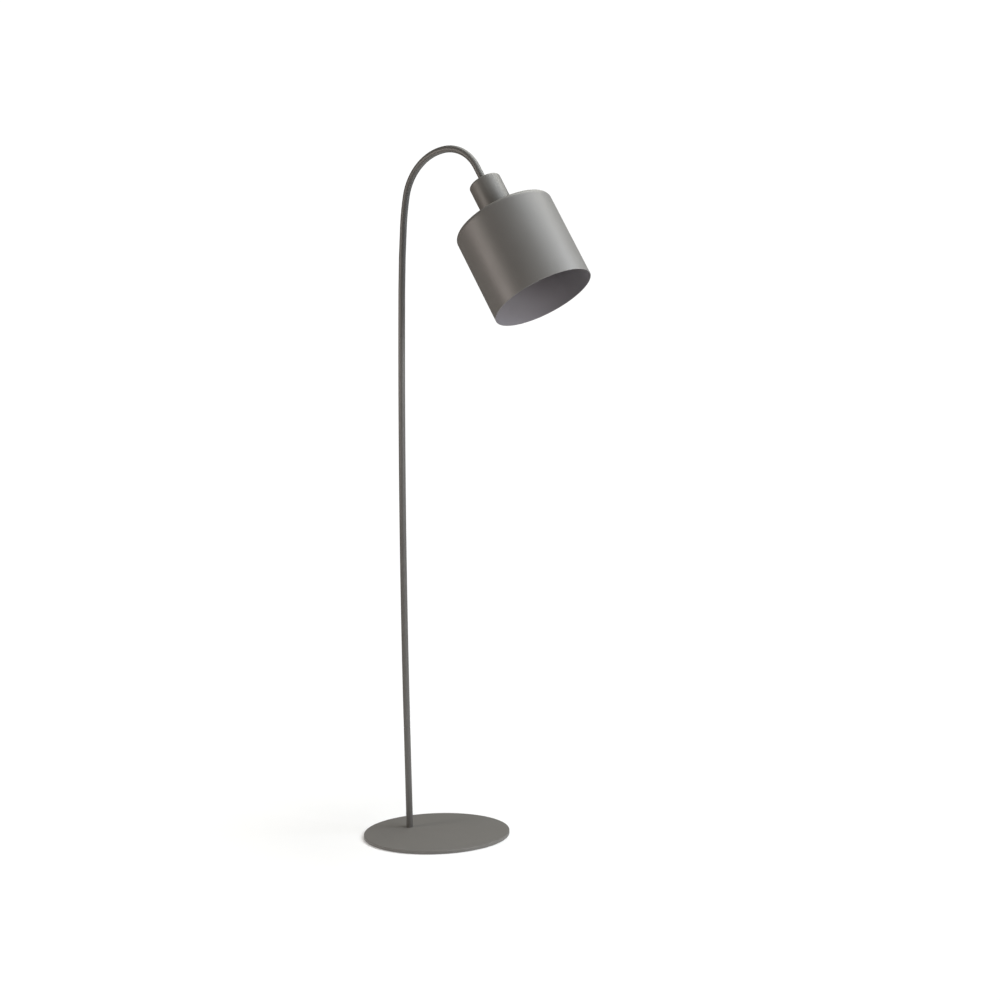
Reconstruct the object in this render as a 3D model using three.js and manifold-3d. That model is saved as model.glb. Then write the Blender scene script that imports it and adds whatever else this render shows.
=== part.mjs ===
// Arched floor lamp: a round steel base, a two-part tube stem that bends over at the top, and a
// cylindrical shade that hangs from the tube's end on a screw lampholder.
//
// Millimetres, +Z up. The origin is the centre of the base's underside, on the floor. The stem
// stands behind the origin, towards -X, and reaches over it towards +X. The XZ plane is the
// plane of symmetry. The head (cup, lampholder, shade and bulb) is modelled in its own group,
// whose +Z runs along the shade's axis from the tube's end to the shade's open mouth.

import * as THREE from "three";
import { mergeVertices } from "three/addons/utils/BufferGeometryUtils.js";
import Module from "manifold-3d";

const wasm = await Module();
wasm.setup();

const { degToRad } = THREE.MathUtils;

// ---------------------------------------------------------------- driving dimensions

const GAP = 0.3; // between neighbours that rest on each other or pass through each other
const OVERCUT = 1; // how far a cutting tool runs past the face that it opens

// Base
const BASE_RADIUS = 140;
const BASE_THICKNESS = 6;
const BASE_EDGE_ROUND = 0.8;
const PAD_THICKNESS = 1;
const PAD_INSET = 4;
const PAD_HOLE_RADIUS = 13;

// Stem
const STEM_SETBACK = 65.2; // the stem's foot behind the base's centre
const TUBE_RADIUS = 6.5;
const TUBE_WALL = 2;
const STUB_LENGTH = 195; // the lower tube, from the base's top to the joint
const TAP_RADIUS = 5; // the widened, tapped ends of both tubes
const TAP_DEPTH = 15;
const JOINT_WASHER_THICKNESS = 0.8;
const JOINT_WASHER_WIDTH = 1; // from its bore to its rim, which stays inside the tube's surface
const UNDERCUT = 32.7; // the straight end of the upper tube, past its last bend

// Bends of the upper tube, from the joint up. The first three are the long sweep that leans the
// tube forward, and the last two are the arch. Radius at the tube's centre line, turn in degrees.
const BENDS = [
  { radius: 21000, turn: 2.3, steps: 4 },
  { radius: 2100, turn: 3.4, steps: 3 },
  { radius: 440, turn: 6.8, steps: 2 },
  { radius: 100, turn: 74.8, steps: 10 },
  { radius: 77, turn: 63.4, steps: 9 },
];

// Fasteners: threads are plain cylinders of the thread's clearance radius
const THREAD_RADIUS = TAP_RADIUS - GAP;
const NIPPLE_BORE_RADIUS = 3;
const FOOT_SCREW_HEAD_RADIUS = 9;
const FOOT_SCREW_HEAD_HEIGHT = 4.2;
const FOOT_SCREW_HEAD_EDGE = 0.4; // the straight rim of the head, before its cone
const FOOT_SCREW_REACH = 13; // how far the screw goes up into the stub
const FOOT_SCREW_SOCKET_RADIUS = 3.4;
const FOOT_SCREW_SOCKET_DEPTH = 3.4;

// Lead and its exit
const LEAD_RADIUS = 2.2;
const LEAD_BEND_RADIUS = 3.6;
const LEAD_EXIT_HEIGHT = 34; // above the floor, at the back of the stub
const GROMMET_WALL = 0.8;
const GROMMET_LIP_RADIUS = 3.9; // its lip inside the tube
const GROMMET_LIP_THICKNESS = 0.6;
const LEAD_PROTRUSION = 3; // the upper lead's sheath, past the end of its nipple
const CORE_RADIUS = 0.9;
const CORE_OFFSET = 1.1; // each core from the lead's centre

// Cup over the lampholder
const CUP_RADIUS = 30.5;
const CUP_LENGTH = 79;
const CUP_WALL = 1;
const CUP_TOP_THICKNESS = 1.2;
const CUP_EDGE_ROUND = 4;

// Shade
const SHADE_RADIUS = 95;
const SHADE_LENGTH = 171.5;
const SHADE_WALL = 1;
const SHADE_EDGE_ROUND = 9;

// Nipple, washer and nut that clamp the cup to the tube's end
const LOCK_WASHER_RADIUS = 9;
const LOCK_WASHER_THICKNESS = 0.8;
const NUT_ACROSS_FLATS = 14;
const NUT_THICKNESS = 4;

// Lampholder, from the head's origin along the shade's axis
const HOLDER_RADIUS = 19.5; // the threaded skirt
const HOLDER_WALL = 4;
const HOLDER_CAP_START = 24;
const HOLDER_BOSS_LENGTH = 8;
const HOLDER_BOSS_RADIUS = 9;
const HOLDER_SHOULDER = 2; // the flat round the boss, before the cap's round corner
const HOLDER_CAP_WALL = 2.5;
const HOLDER_CAP_LENGTH = 28;
const HOLDER_CAP_OVERHANG = 1; // the cap's radius over the skirt's
const NIPPLE_PROTRUSION = 2; // the head's nipple, past the inside of the boss
const HOLDER_PROTRUSION = 20; // how far the skirt comes out below the shade's top
const HOLDER_FLANGE_RADIUS = 24;
const HOLDER_FLANGE_THICKNESS = 2.5;
const HOLDER_CHAMFER = 1;
const HOLDER_CORE_THICKNESS = 14;
const HOLDER_CORE_CHAMFER = { width: 1, height: 3 };
const SHELL_BORE_RADIUS = 13.5;
const SHELL_WALL = 0.5;
const SHELL_LENGTH = 28;
const SHELL_FLOOR_CLEARANCE = 3; // round the bulb's end contact
const CONTACT_STRIP = { thickness: 0.5, width: 5, reach: 5, step: 1 };
const TERMINAL_SPACING = 16;
const TERMINAL_SIZE = { x: 6, y: 5, z: 6 };
const TERMINAL_SCREW_RADIUS = 1.7;
const TERMINAL_SCREW_LENGTH = 3;
const RING_OUTER_RADIUS = 28.5;
const RING_THICKNESS = 5;
const RING_GRIPS = 8;
const RING_GRIP_RADIUS = 2.4;
const RING_CHAMFER = 1;
const RING_LIP = 1.5; // below the finger grips

// Bulb
const BULB_CAP_RADIUS = 13.1;
const BULB_CAP_LENGTH = 22;
const BULB_CAP_WALL = 0.5;
const BULB_CAP_SHOULDER = 2; // the cone at the cap's end
const BULB_CAP_LAP = 1; // of the cap over the glass
const BULB_SEAT = 2; // how far the glass starts inside the lampholder's mouth
const BULB_RADIUS = 30;
const BULB_LENGTH = 80; // the glass, from the cap to the tip
const BULB_NECK_RADIUS = 12.2;
const BULB_FLARE = [[0, 0], [1, 8], [4.6, 19], [10.8, 30], [15.8, 40]]; // growth of the radius, height
const BULB_GLASS = 0.8;
const INSULATOR_HEIGHT = 4;
const INSULATOR_RADIUS = 9.5;
const INSULATOR_LIP = 0.8; // the insulator's tip, round the contact
const BULB_CONTACT_RADIUS = 4.6;
const BULB_CONTACT_HEIGHT = 1.3;
const BULB_STEM_LENGTH = 50;
const BULB_STEM_FOOT = { height: 12, radius: 3.2, rim: 3 };
const BULB_STEM_TIP_RADIUS = 1.6;
const FILAMENT_COUNT = 4;
const FILAMENT_LENGTH = 34;
const FILAMENT_RADIUS = 0.8;
const FILAMENT_CIRCLE = 8; // their circle round the bulb's axis
const SPIDER_THICKNESS = 0.8;
const SPIDER_ARM_WIDTH = 1.4;

// Sides of the round pieces
const BASE_SIDES = 84;
const SHADE_SIDES = 60;
const CUP_SIDES = 40;
const FITTING_SIDES = 28; // lampholder and bulb
const THREAD_SIDES = 24;
const TUBE_SIDES = 20;
const BORE_SIDES = 16;
const SMALL_SIDES = 12;
const ROD_SIDES = 8;
const HEX_SIDES = 6;
const CORE_STEPS = 14; // along each of the lead's cores
const LEAD_BEND_STEPS = 6;

// ---------------------------------------------------------------- derived places

const baseUnderside = PAD_THICKNESS;
const baseTop = PAD_THICKNESS + BASE_THICKNESS;
const tubeBore = TUBE_RADIUS - TUBE_WALL;
const stubTop = baseTop + STUB_LENGTH;
const archStart = stubTop + JOINT_WASHER_THICKNESS + GAP;

const shadeTop = CUP_LENGTH; // outer face of the shade's top plate, in the head's frame
const shadeMouth = shadeTop + SHADE_LENGTH;
const holderMouth = shadeTop + SHADE_WALL + HOLDER_PROTRUSION;
const holderCapEnd = HOLDER_CAP_START + HOLDER_CAP_LENGTH;
const coreBack = holderCapEnd + GAP; // the face that carries the terminals
const coreFront = coreBack + HOLDER_CORE_THICKNESS;
const shellStart = coreFront + GAP;
const terminalTop = coreBack - GAP - TERMINAL_SIZE.z;
const nippleEnd = HOLDER_CAP_START + HOLDER_BOSS_LENGTH + NIPPLE_PROTRUSION;
const sheathEnd = nippleEnd + LEAD_PROTRUSION; // where the lead's two cores come out
const glassStart = holderMouth - BULB_SEAT;
const capTop = glassStart - BULB_CAP_LENGTH;
const contactTip = capTop - INSULATOR_HEIGHT - BULB_CONTACT_HEIGHT;
const postTop = glassStart + BULB_STEM_LENGTH;
const headTurn = BENDS.reduce((sum, bend) => sum + bend.turn, 0);

// ---------------------------------------------------------------- finishes

function finish(color, roughness, metalness) {
  return new THREE.MeshStandardMaterial({ color, roughness, metalness });
}

const greyPaint = () => finish(0x77736e, 0.5, 0.1);
const zincSteel = () => finish(0xb4b6b8, 0.35, 0.9);
const brass = () => finish(0xb9974f, 0.35, 0.9);
const blackPhenolic = () => finish(0x1c1c1e, 0.45, 0);
const greyNylon = () => finish(0x55524f, 0.6, 0);
const greyFoam = () => finish(0x2b2b2c, 0.95, 0);
const blackRubber = () => finish(0x1d1d1d, 0.8, 0);
const leadSheath = () => finish(0x262628, 0.6, 0);
const steatite = () => finish(0xe9e5da, 0.6, 0);
const brownCore = () => finish(0x6b4326, 0.5, 0);
const blueCore = () => finish(0x2b5b94, 0.5, 0);
const opalGlass = () => finish(0xf4f1ea, 0.25, 0);
const clearGlass = () => finish(0xdfe6e6, 0.05, 0);
const phosphor = () => finish(0xe8b13c, 0.6, 0);
const aluminium = () => finish(0xc9cbcd, 0.35, 0.9);

// ---------------------------------------------------------------- shape helpers

/** A solid of revolution about Z. `profile` is a closed outline of [radius, z] pairs. */
function turned(profile, segments) {
  const outline = profile.map(([radius, z]) => new THREE.Vector2(Math.max(radius, 0), z));
  const area = outline.reduce((sum, point, index) => {
    const next = outline[(index + 1) % outline.length];
    return sum + point.x * next.y - next.x * point.y;
  }, 0);
  if (area < 0) outline.reverse();
  const onAxis = outline[0].x === 0 && outline[outline.length - 1].x === 0;
  if (!onAxis) outline.push(outline[0].clone());
  return new THREE.LatheGeometry(outline, segments).rotateX(Math.PI / 2);
}

/** Points of an arc in a profile: centre, radius and two angles in degrees. */
function arc(centreRadius, centreZ, radius, fromAngle, toAngle, steps) {
  return Array.from({ length: steps + 1 }, (_, index) => {
    const angle = degToRad(fromAngle + ((toAngle - fromAngle) * index) / steps);
    return [centreRadius + radius * Math.cos(angle), centreZ + radius * Math.sin(angle)];
  });
}

/** A ring or a short tube about Z. */
function ring(innerRadius, outerRadius, zStart, zEnd, segments) {
  const nearFace = [[innerRadius, zStart], [outerRadius, zStart]];
  const farFace = [[outerRadius, zEnd], [innerRadius, zEnd]];
  return turned([...nearFace, ...farFace], segments);
}

/** A plain cylinder about Z. */
function disc(radius, zStart, zEnd, segments) {
  return turned([[0, zStart], [radius, zStart], [radius, zEnd], [0, zEnd]], segments);
}

/** A three.js geometry as a solid that can be cut and joined. */
function solid(geometry) {
  const bare = geometry.clone();
  bare.deleteAttribute("normal");
  bare.deleteAttribute("uv");
  const merged = mergeVertices(bare, 1e-4);
  const vertProperties = new Float32Array(merged.getAttribute("position").array);
  const triVerts = new Uint32Array(merged.index.array);
  return new wasm.Manifold(new wasm.Mesh({ numProp: 3, vertProperties, triVerts }));
}

/** A solid's surface as a three.js geometry. */
function surface(body) {
  const mesh = body.getMesh();
  const geometry = new THREE.BufferGeometry();
  geometry.setAttribute("position", new THREE.BufferAttribute(mesh.vertProperties, 3));
  geometry.setIndex(new THREE.BufferAttribute(mesh.triVerts, 1));
  geometry.computeVertexNormals();
  return geometry;
}

/** `geometry` with every tool in `tools` cut out of it. */
function cut(geometry, ...tools) {
  const body = tools.reduce((rest, tool) => rest.subtract(solid(tool)), solid(geometry));
  return surface(body);
}

/** A round section, hollow when it has an inner radius, swept along a path. */
function swept(path, outerRadius, innerRadius, steps, sides) {
  const section = new THREE.Shape();
  section.absarc(0, 0, outerRadius, 0, 2 * Math.PI);
  if (innerRadius > 0) {
    const bore = new THREE.Path();
    bore.absarc(0, 0, innerRadius, 0, 2 * Math.PI);
    section.holes.push(bore);
  }
  return new THREE.ExtrudeGeometry(section, { extrudePath: path, steps, curveSegments: sides / 2 });
}

/** A curve through given stations, each of which is one step of a sweep. */
class StationCurve extends THREE.Curve {
  constructor(stations) {
    super();
    this.stations = stations;
  }

  get steps() {
    return this.stations.length - 1;
  }

  getUtoTmapping(u) {
    return u;
  }

  getPoint(t, target = new THREE.Vector3()) {
    const place = t * this.steps;
    const index = Math.min(Math.floor(place), this.steps - 1);
    return target.lerpVectors(this.stations[index], this.stations[index + 1], place - index);
  }
}

/** Stations of the stem's centre line from the joint to the cup, in the XZ plane. */
function stemStations(startHeight, endTrim) {
  let x = -STEM_SETBACK;
  let z = startHeight;
  let heading = 0;
  const stations = [new THREE.Vector3(x, 0, z)];
  for (const { radius, turn, steps } of BENDS) {
    const centreX = x + radius * Math.cos(heading);
    const centreZ = z - radius * Math.sin(heading);
    for (let step = 1; step <= steps; step += 1) {
      const angle = heading + degToRad((turn * step) / steps);
      x = centreX - radius * Math.cos(angle);
      z = centreZ + radius * Math.sin(angle);
      stations.push(new THREE.Vector3(x, 0, z));
    }
    heading += degToRad(turn);
  }
  const run = UNDERCUT - endTrim;
  stations.push(new THREE.Vector3(x + run * Math.sin(heading), 0, z + run * Math.cos(heading)));
  return stations;
}

const stemEnd = stemStations(archStart, 0).at(-1); // where the cup's top is
const headDirection = new THREE.Vector3(Math.sin(degToRad(headTurn)), 0, Math.cos(degToRad(headTurn)));

// ---------------------------------------------------------------- the scene graph

const lamp = new THREE.Group();

/** Adds a named piece to a group. */
function add(parent, name, geometry, material) {
  const mesh = new THREE.Mesh(geometry, material);
  mesh.name = name;
  parent.add(mesh);
  return mesh;
}

// Everything on the stem's foot axis
const foot = new THREE.Group();
foot.position.x = -STEM_SETBACK;
lamp.add(foot);

// Everything on the shade's axis
const head = new THREE.Group();
head.position.copy(stemEnd);
head.rotation.y = degToRad(headTurn);
lamp.add(head);

// ---------------------------------------------------------------- base

/** Outline of the countersunk foot screw, `margin` wider all round for its hole. */
function footScrewOutline(margin, bottom, top) {
  const headRadius = FOOT_SCREW_HEAD_RADIUS + margin;
  const shankRadius = THREAD_RADIUS + margin;
  return [
    [0, bottom],
    [headRadius, bottom],
    [headRadius, baseUnderside + GAP + FOOT_SCREW_HEAD_EDGE],
    [shankRadius, baseUnderside + FOOT_SCREW_HEAD_HEIGHT],
    [shankRadius, top],
    [0, top],
  ];
}

function footScrew() {
  const bottom = baseUnderside + GAP;
  const screw = turned(footScrewOutline(0, bottom, baseTop + FOOT_SCREW_REACH), FITTING_SIDES);
  const socketEnd = bottom + FOOT_SCREW_SOCKET_DEPTH;
  return cut(screw, disc(FOOT_SCREW_SOCKET_RADIUS, bottom - OVERCUT, socketEnd, HEX_SIDES));
}

function basePlate() {
  const topEdge = BASE_RADIUS - BASE_EDGE_ROUND;
  const bottomEdge = BASE_EDGE_ROUND / 2;
  const outline = [
    [0, baseUnderside],
    [BASE_RADIUS - bottomEdge, baseUnderside],
    [BASE_RADIUS, baseUnderside + bottomEdge],
    ...arc(topEdge, baseTop - BASE_EDGE_ROUND, BASE_EDGE_ROUND, 0, 90, 2),
    [0, baseTop],
  ];
  const holeOutline = footScrewOutline(GAP, baseUnderside - OVERCUT, baseTop + OVERCUT);
  const hole = turned(holeOutline, FITTING_SIDES);
  return cut(turned(outline, BASE_SIDES), hole.translate(-STEM_SETBACK, 0, 0));
}

function floorPad() {
  const pad = disc(BASE_RADIUS - PAD_INSET, 0, PAD_THICKNESS, BASE_SIDES);
  const hole = disc(PAD_HOLE_RADIUS, -OVERCUT, PAD_THICKNESS + OVERCUT, FITTING_SIDES);
  return cut(pad, hole.translate(-STEM_SETBACK, 0, 0));
}

add(lamp, "base_plate", basePlate(), greyPaint());
add(lamp, "floor_pad", floorPad(), greyFoam());
add(foot, "foot_screw", footScrew(), zincSteel());

// ---------------------------------------------------------------- lower stem and joint

const grommetRadius = LEAD_RADIUS + GAP + GROMMET_WALL;
const leadExit = TUBE_RADIUS + GAP; // where the lead and the grommet end, behind the stub's axis

/** A cylinder from the stem's axis out to the back, at the height of the lead's exit. */
function backwards(radius, from, to, segments) {
  return disc(radius, from, to, segments).rotateY(-Math.PI / 2).translate(0, 0, LEAD_EXIT_HEIGHT);
}

function stemStub() {
  const tube = ring(tubeBore, TUBE_RADIUS, baseTop, stubTop, TUBE_SIDES);
  const lowerTap = disc(TAP_RADIUS, baseTop - OVERCUT, baseTop + TAP_DEPTH, TUBE_SIDES);
  const upperTap = disc(TAP_RADIUS, stubTop - TAP_DEPTH, stubTop + OVERCUT, TUBE_SIDES);
  const exit = backwards(grommetRadius + GAP, 0, TUBE_RADIUS + OVERCUT, TUBE_SIDES);
  return cut(tube, lowerTap, upperTap, exit);
}

/** The rubber grommet: flush with the tube outside, and held by a lip that fits its bore. */
function cordGrommet() {
  const lipOuter = tubeBore - GAP;
  const lipInner = lipOuter - GROMMET_LIP_THICKNESS;
  const around = (radius) => solid(disc(radius, 0, LEAD_EXIT_HEIGHT * 2, TUBE_SIDES));
  const shank = solid(backwards(grommetRadius, 0, leadExit + OVERCUT, TUBE_SIDES));
  const lip = solid(backwards(GROMMET_LIP_RADIUS, 0, tubeBore, TUBE_SIDES));
  const whole = shank.intersect(around(leadExit)).add(lip.intersect(around(lipOuter)));
  const bore = solid(backwards(LEAD_RADIUS + GAP, 0, leadExit + OVERCUT, BORE_SIDES));
  return surface(whole.subtract(around(lipInner)).subtract(bore));
}

/** The lead inside the stub: down from the joint, then out to the back through the grommet. */
function lowerLead() {
  const stations = [new THREE.Vector3(0, 0, stubTop)];
  const bendTop = LEAD_EXIT_HEIGHT + LEAD_BEND_RADIUS;
  for (let step = 0; step <= LEAD_BEND_STEPS; step += 1) {
    const angle = (Math.PI / 2) * (step / LEAD_BEND_STEPS);
    const x = -LEAD_BEND_RADIUS * (1 - Math.cos(angle));
    stations.push(new THREE.Vector3(x, 0, bendTop - LEAD_BEND_RADIUS * Math.sin(angle)));
  }
  stations.push(new THREE.Vector3(-leadExit, 0, LEAD_EXIT_HEIGHT));
  const path = new StationCurve(stations);
  return swept(path, LEAD_RADIUS, 0, path.steps, ROD_SIDES);
}

add(foot, "stem_stub", stemStub(), greyPaint());
add(foot, "cord_grommet", cordGrommet(), blackRubber());
add(foot, "lead_lower", lowerLead(), leadSheath());
add(
  foot,
  "joint_nipple",
  ring(
    NIPPLE_BORE_RADIUS,
    THREAD_RADIUS,
    stubTop - TAP_DEPTH + GAP,
    archStart + TAP_DEPTH - GAP,
    TUBE_SIDES,
  ),
  zincSteel(),
);
add(
  foot,
  "joint_washer",
  ring(
    TAP_RADIUS,
    TAP_RADIUS + JOINT_WASHER_WIDTH,
    stubTop,
    stubTop + JOINT_WASHER_THICKNESS,
    TUBE_SIDES,
  ),
  greyNylon(),
);

// ---------------------------------------------------------------- upper stem

function archTube() {
  const path = new StationCurve(stemStations(archStart, GAP));
  const tube = swept(path, TUBE_RADIUS, tubeBore, path.steps, TUBE_SIDES);
  const lowerTap = disc(TAP_RADIUS, archStart - OVERCUT, archStart + TAP_DEPTH, TUBE_SIDES);
  const upperTap = disc(TAP_RADIUS, -TAP_DEPTH, OVERCUT, TUBE_SIDES);
  return cut(
    tube,
    lowerTap.translate(-STEM_SETBACK, 0, 0),
    upperTap.rotateY(degToRad(headTurn)).translate(stemEnd.x, 0, stemEnd.z),
  );
}

/** The lead inside the arch, which runs on along the shade's axis into the lampholder. */
function upperLead() {
  const stations = stemStations(archStart, 0);
  stations[0].z = stubTop + GAP;
  stations[stations.length - 1].addScaledVector(headDirection, sheathEnd);
  const path = new StationCurve(stations);
  return swept(path, LEAD_RADIUS, 0, path.steps, ROD_SIDES);
}

add(lamp, "stem_arch", archTube(), greyPaint());
add(lamp, "lead_upper", upperLead(), leadSheath());

// ---------------------------------------------------------------- cup and its fixing

function cup() {
  const round = CUP_EDGE_ROUND;
  const inner = CUP_RADIUS - CUP_WALL;
  const innerRound = round - CUP_WALL;
  const rim = shadeTop - GAP;
  return turned(
    [
      [TAP_RADIUS, 0],
      ...arc(CUP_RADIUS - round, round, round, -90, 0, 4),
      [CUP_RADIUS, rim],
      [inner, rim],
      ...arc(inner - innerRound, CUP_TOP_THICKNESS + innerRound, innerRound, 0, -90, 2),
      [TAP_RADIUS, CUP_TOP_THICKNESS],
    ],
    CUP_SIDES,
  );
}

const washerStart = CUP_TOP_THICKNESS + GAP;
const nutStart = washerStart + LOCK_WASHER_THICKNESS + GAP;

function headNut() {
  const hexRadius = NUT_ACROSS_FLATS / Math.sqrt(3);
  const nutEnd = nutStart + NUT_THICKNESS;
  const bore = disc(TAP_RADIUS, nutStart - OVERCUT, nutEnd + OVERCUT, THREAD_SIDES);
  return cut(disc(hexRadius, nutStart, nutEnd, HEX_SIDES), bore);
}

add(head, "cup", cup(), greyPaint());
add(
  head,
  "head_nipple",
  ring(NIPPLE_BORE_RADIUS, THREAD_RADIUS, -TAP_DEPTH + 2 * GAP, nippleEnd, TUBE_SIDES),
  zincSteel(),
);
add(
  head,
  "head_lock_washer",
  ring(TAP_RADIUS, LOCK_WASHER_RADIUS, washerStart, washerStart + LOCK_WASHER_THICKNESS, TUBE_SIDES),
  zincSteel(),
);
add(head, "head_nut", headNut(), brass());

// ---------------------------------------------------------------- lampholder

function holderCap() {
  const wall = HOLDER_CAP_WALL;
  const bossEnd = HOLDER_CAP_START + HOLDER_BOSS_LENGTH;
  const shoulder = HOLDER_BOSS_RADIUS + HOLDER_SHOULDER;
  const outer = HOLDER_RADIUS + HOLDER_CAP_OVERHANG;
  return turned(
    [
      [TAP_RADIUS, HOLDER_CAP_START],
      [HOLDER_BOSS_RADIUS, HOLDER_CAP_START],
      [HOLDER_BOSS_RADIUS, bossEnd - wall],
      ...arc(shoulder, bossEnd - wall + (outer - shoulder), outer - shoulder, -90, 0, 3),
      [outer, holderCapEnd],
      [outer - wall, holderCapEnd],
      ...arc(shoulder, bossEnd + (outer - shoulder) - wall, outer - shoulder - wall, 0, -90, 2),
      [TAP_RADIUS, bossEnd],
    ],
    FITTING_SIDES,
  );
}

function holderSkirt() {
  const bore = HOLDER_RADIUS - HOLDER_WALL;
  const flangeEnd = shadeTop - GAP;
  const flangeStart = flangeEnd - HOLDER_FLANGE_THICKNESS;
  return turned(
    [
      [bore, coreBack],
      [HOLDER_RADIUS, coreBack],
      [HOLDER_RADIUS, flangeStart],
      [HOLDER_FLANGE_RADIUS, flangeStart],
      [HOLDER_FLANGE_RADIUS, flangeEnd],
      [HOLDER_RADIUS, flangeEnd],
      [HOLDER_RADIUS, holderMouth - HOLDER_CHAMFER],
      [HOLDER_RADIUS - HOLDER_CHAMFER, holderMouth],
      [bore, holderMouth],
    ],
    FITTING_SIDES,
  );
}

/** The steatite core: a thick disc with a chamfered front edge. */
function holderCore() {
  const radius = HOLDER_RADIUS - HOLDER_WALL - GAP;
  const { width, height } = HOLDER_CORE_CHAMFER;
  return turned(
    [
      [0, coreBack],
      [radius, coreBack],
      [radius, coreFront - height],
      [radius - width, coreFront],
      [0, coreFront],
    ],
    FITTING_SIDES,
  );
}

/** The brass screw shell that takes the bulb's cap, with its floor resting on the core. */
function screwShell() {
  const outer = SHELL_BORE_RADIUS + SHELL_WALL;
  const floorRadius = BULB_CONTACT_RADIUS + SHELL_FLOOR_CLEARANCE;
  return turned(
    [
      [floorRadius, shellStart],
      [outer, shellStart],
      [outer, shellStart + SHELL_LENGTH],
      [SHELL_BORE_RADIUS, shellStart + SHELL_LENGTH],
      [SHELL_BORE_RADIUS, shellStart + SHELL_WALL],
      [floorRadius, shellStart + SHELL_WALL],
    ],
    FITTING_SIDES,
  );
}

/** The sprung brass strip that presses on the bulb's end contact. */
function centreContact() {
  const { thickness, width, reach, step } = CONTACT_STRIP;
  const low = shellStart + thickness;
  const high = contactTip - GAP;
  const strip = new THREE.Shape();
  strip.moveTo(-reach, low - thickness);
  strip.lineTo(reach, low - thickness);
  strip.lineTo(reach, high);
  strip.lineTo(-reach + step, high);
  strip.lineTo(-reach + step, high - thickness);
  strip.lineTo(reach - thickness, high - thickness);
  strip.lineTo(reach - thickness, low);
  strip.lineTo(-reach, low);
  strip.closePath();
  return new THREE.ExtrudeGeometry(strip, { depth: width, bevelEnabled: false })
    .translate(0, 0, -width / 2)
    .rotateX(Math.PI / 2);
}

/** A terminal block with a hole for its wire from above and one for its screw from the side. */
function terminalBlock() {
  const { x, y, z } = TERMINAL_SIZE;
  const block = new THREE.BoxGeometry(x, y, z);
  const wireHole = disc(CORE_RADIUS + GAP, -z, 0.5, SMALL_SIDES);
  return cut(block, wireHole);
}

/** A core from the lead's end to its terminal: `side` is 1 or -1. */
function leadCore(side) {
  const start = sheathEnd + GAP;
  const end = terminalTop + TERMINAL_SIZE.z / 2 + GAP;
  const spread = side * (TERMINAL_SPACING / 2);
  const route = new THREE.CatmullRomCurve3([
    new THREE.Vector3(side * CORE_OFFSET, 0, start),
    new THREE.Vector3(side * (CORE_OFFSET + 0.8), 0, start + 1.6),
    new THREE.Vector3(spread - side * 0.8, 0, terminalTop - 2),
    new THREE.Vector3(spread, 0, terminalTop - 0.4),
    new THREE.Vector3(spread, 0, end),
  ]);
  return swept(route, CORE_RADIUS, 0, CORE_STEPS, ROD_SIDES);
}

function shadeRing() {
  const start = shadeTop + SHADE_WALL + GAP;
  const end = start + RING_THICKNESS;
  const bore = HOLDER_RADIUS + GAP;
  const blank = turned(
    [
      [bore, start],
      [RING_OUTER_RADIUS, start],
      [RING_OUTER_RADIUS, end - RING_CHAMFER],
      [RING_OUTER_RADIUS - RING_CHAMFER, end],
      [bore, end],
    ],
    FITTING_SIDES,
  );
  const grips = Array.from({ length: RING_GRIPS }, (_, index) => {
    const angle = (2 * Math.PI * (index + 0.5)) / RING_GRIPS;
    const radius = RING_OUTER_RADIUS + RING_GRIP_RADIUS / 2;
    return disc(RING_GRIP_RADIUS, start + RING_LIP, end + OVERCUT, ROD_SIDES)
      .translate(radius * Math.cos(angle), radius * Math.sin(angle), 0);
  });
  return cut(blank, ...grips);
}

add(head, "holder_cap", holderCap(), blackPhenolic());
add(head, "holder_core", holderCore(), steatite());
add(head, "holder_skirt", holderSkirt(), blackPhenolic());
add(head, "screw_shell", screwShell(), brass());
add(head, "centre_contact", centreContact(), brass());

for (const [pole, side, colour] of [["live", 1, brownCore], ["neutral", -1, blueCore]]) {
  const x = side * (TERMINAL_SPACING / 2);
  const block = add(head, `terminal_${pole}`, terminalBlock(), brass());
  block.position.set(x, 0, terminalTop + TERMINAL_SIZE.z / 2);
  const screwShape = disc(TERMINAL_SCREW_RADIUS, 0, TERMINAL_SCREW_LENGTH, SMALL_SIDES);
  const screw = add(head, `terminal_screw_${pole}`, screwShape, zincSteel());
  screw.rotation.x = -Math.PI / 2;
  screw.position.set(x, TERMINAL_SIZE.y / 2 + GAP, terminalTop + TERMINAL_SIZE.z / 2);
  add(head, `core_${pole}`, leadCore(side), colour());
}

// ---------------------------------------------------------------- shade

function shade() {
  const round = SHADE_EDGE_ROUND;
  const inner = SHADE_RADIUS - SHADE_WALL;
  const innerRound = round - SHADE_WALL;
  const hole = HOLDER_RADIUS + 2 * GAP;
  const plateUnder = shadeTop + SHADE_WALL;
  return turned(
    [
      [hole, shadeTop],
      ...arc(SHADE_RADIUS - round, shadeTop + round, round, -90, 0, 5),
      [SHADE_RADIUS, shadeMouth],
      [inner, shadeMouth],
      ...arc(inner - innerRound, plateUnder + innerRound, innerRound, 0, -90, 4),
      [hole, plateUnder],
    ],
    SHADE_SIDES,
  );
}

add(head, "shade", shade(), greyPaint());
add(head, "shade_ring", shadeRing(), blackPhenolic());

// ---------------------------------------------------------------- bulb

/** Outline of the bulb's glass, `inset` inside its outer surface, from the neck to the tip. */
function bulbOutline(inset) {
  const centre = BULB_LENGTH - BULB_RADIUS;
  const neck = BULB_FLARE.map(([growth, height]) => [BULB_NECK_RADIUS + growth, height]);
  const rows = [...neck, ...arc(0, centre, BULB_RADIUS, 0, 90, 6).slice(0, -1)];
  return rows.map(([radius, z]) => [radius - inset, glassStart + z]);
}

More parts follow.
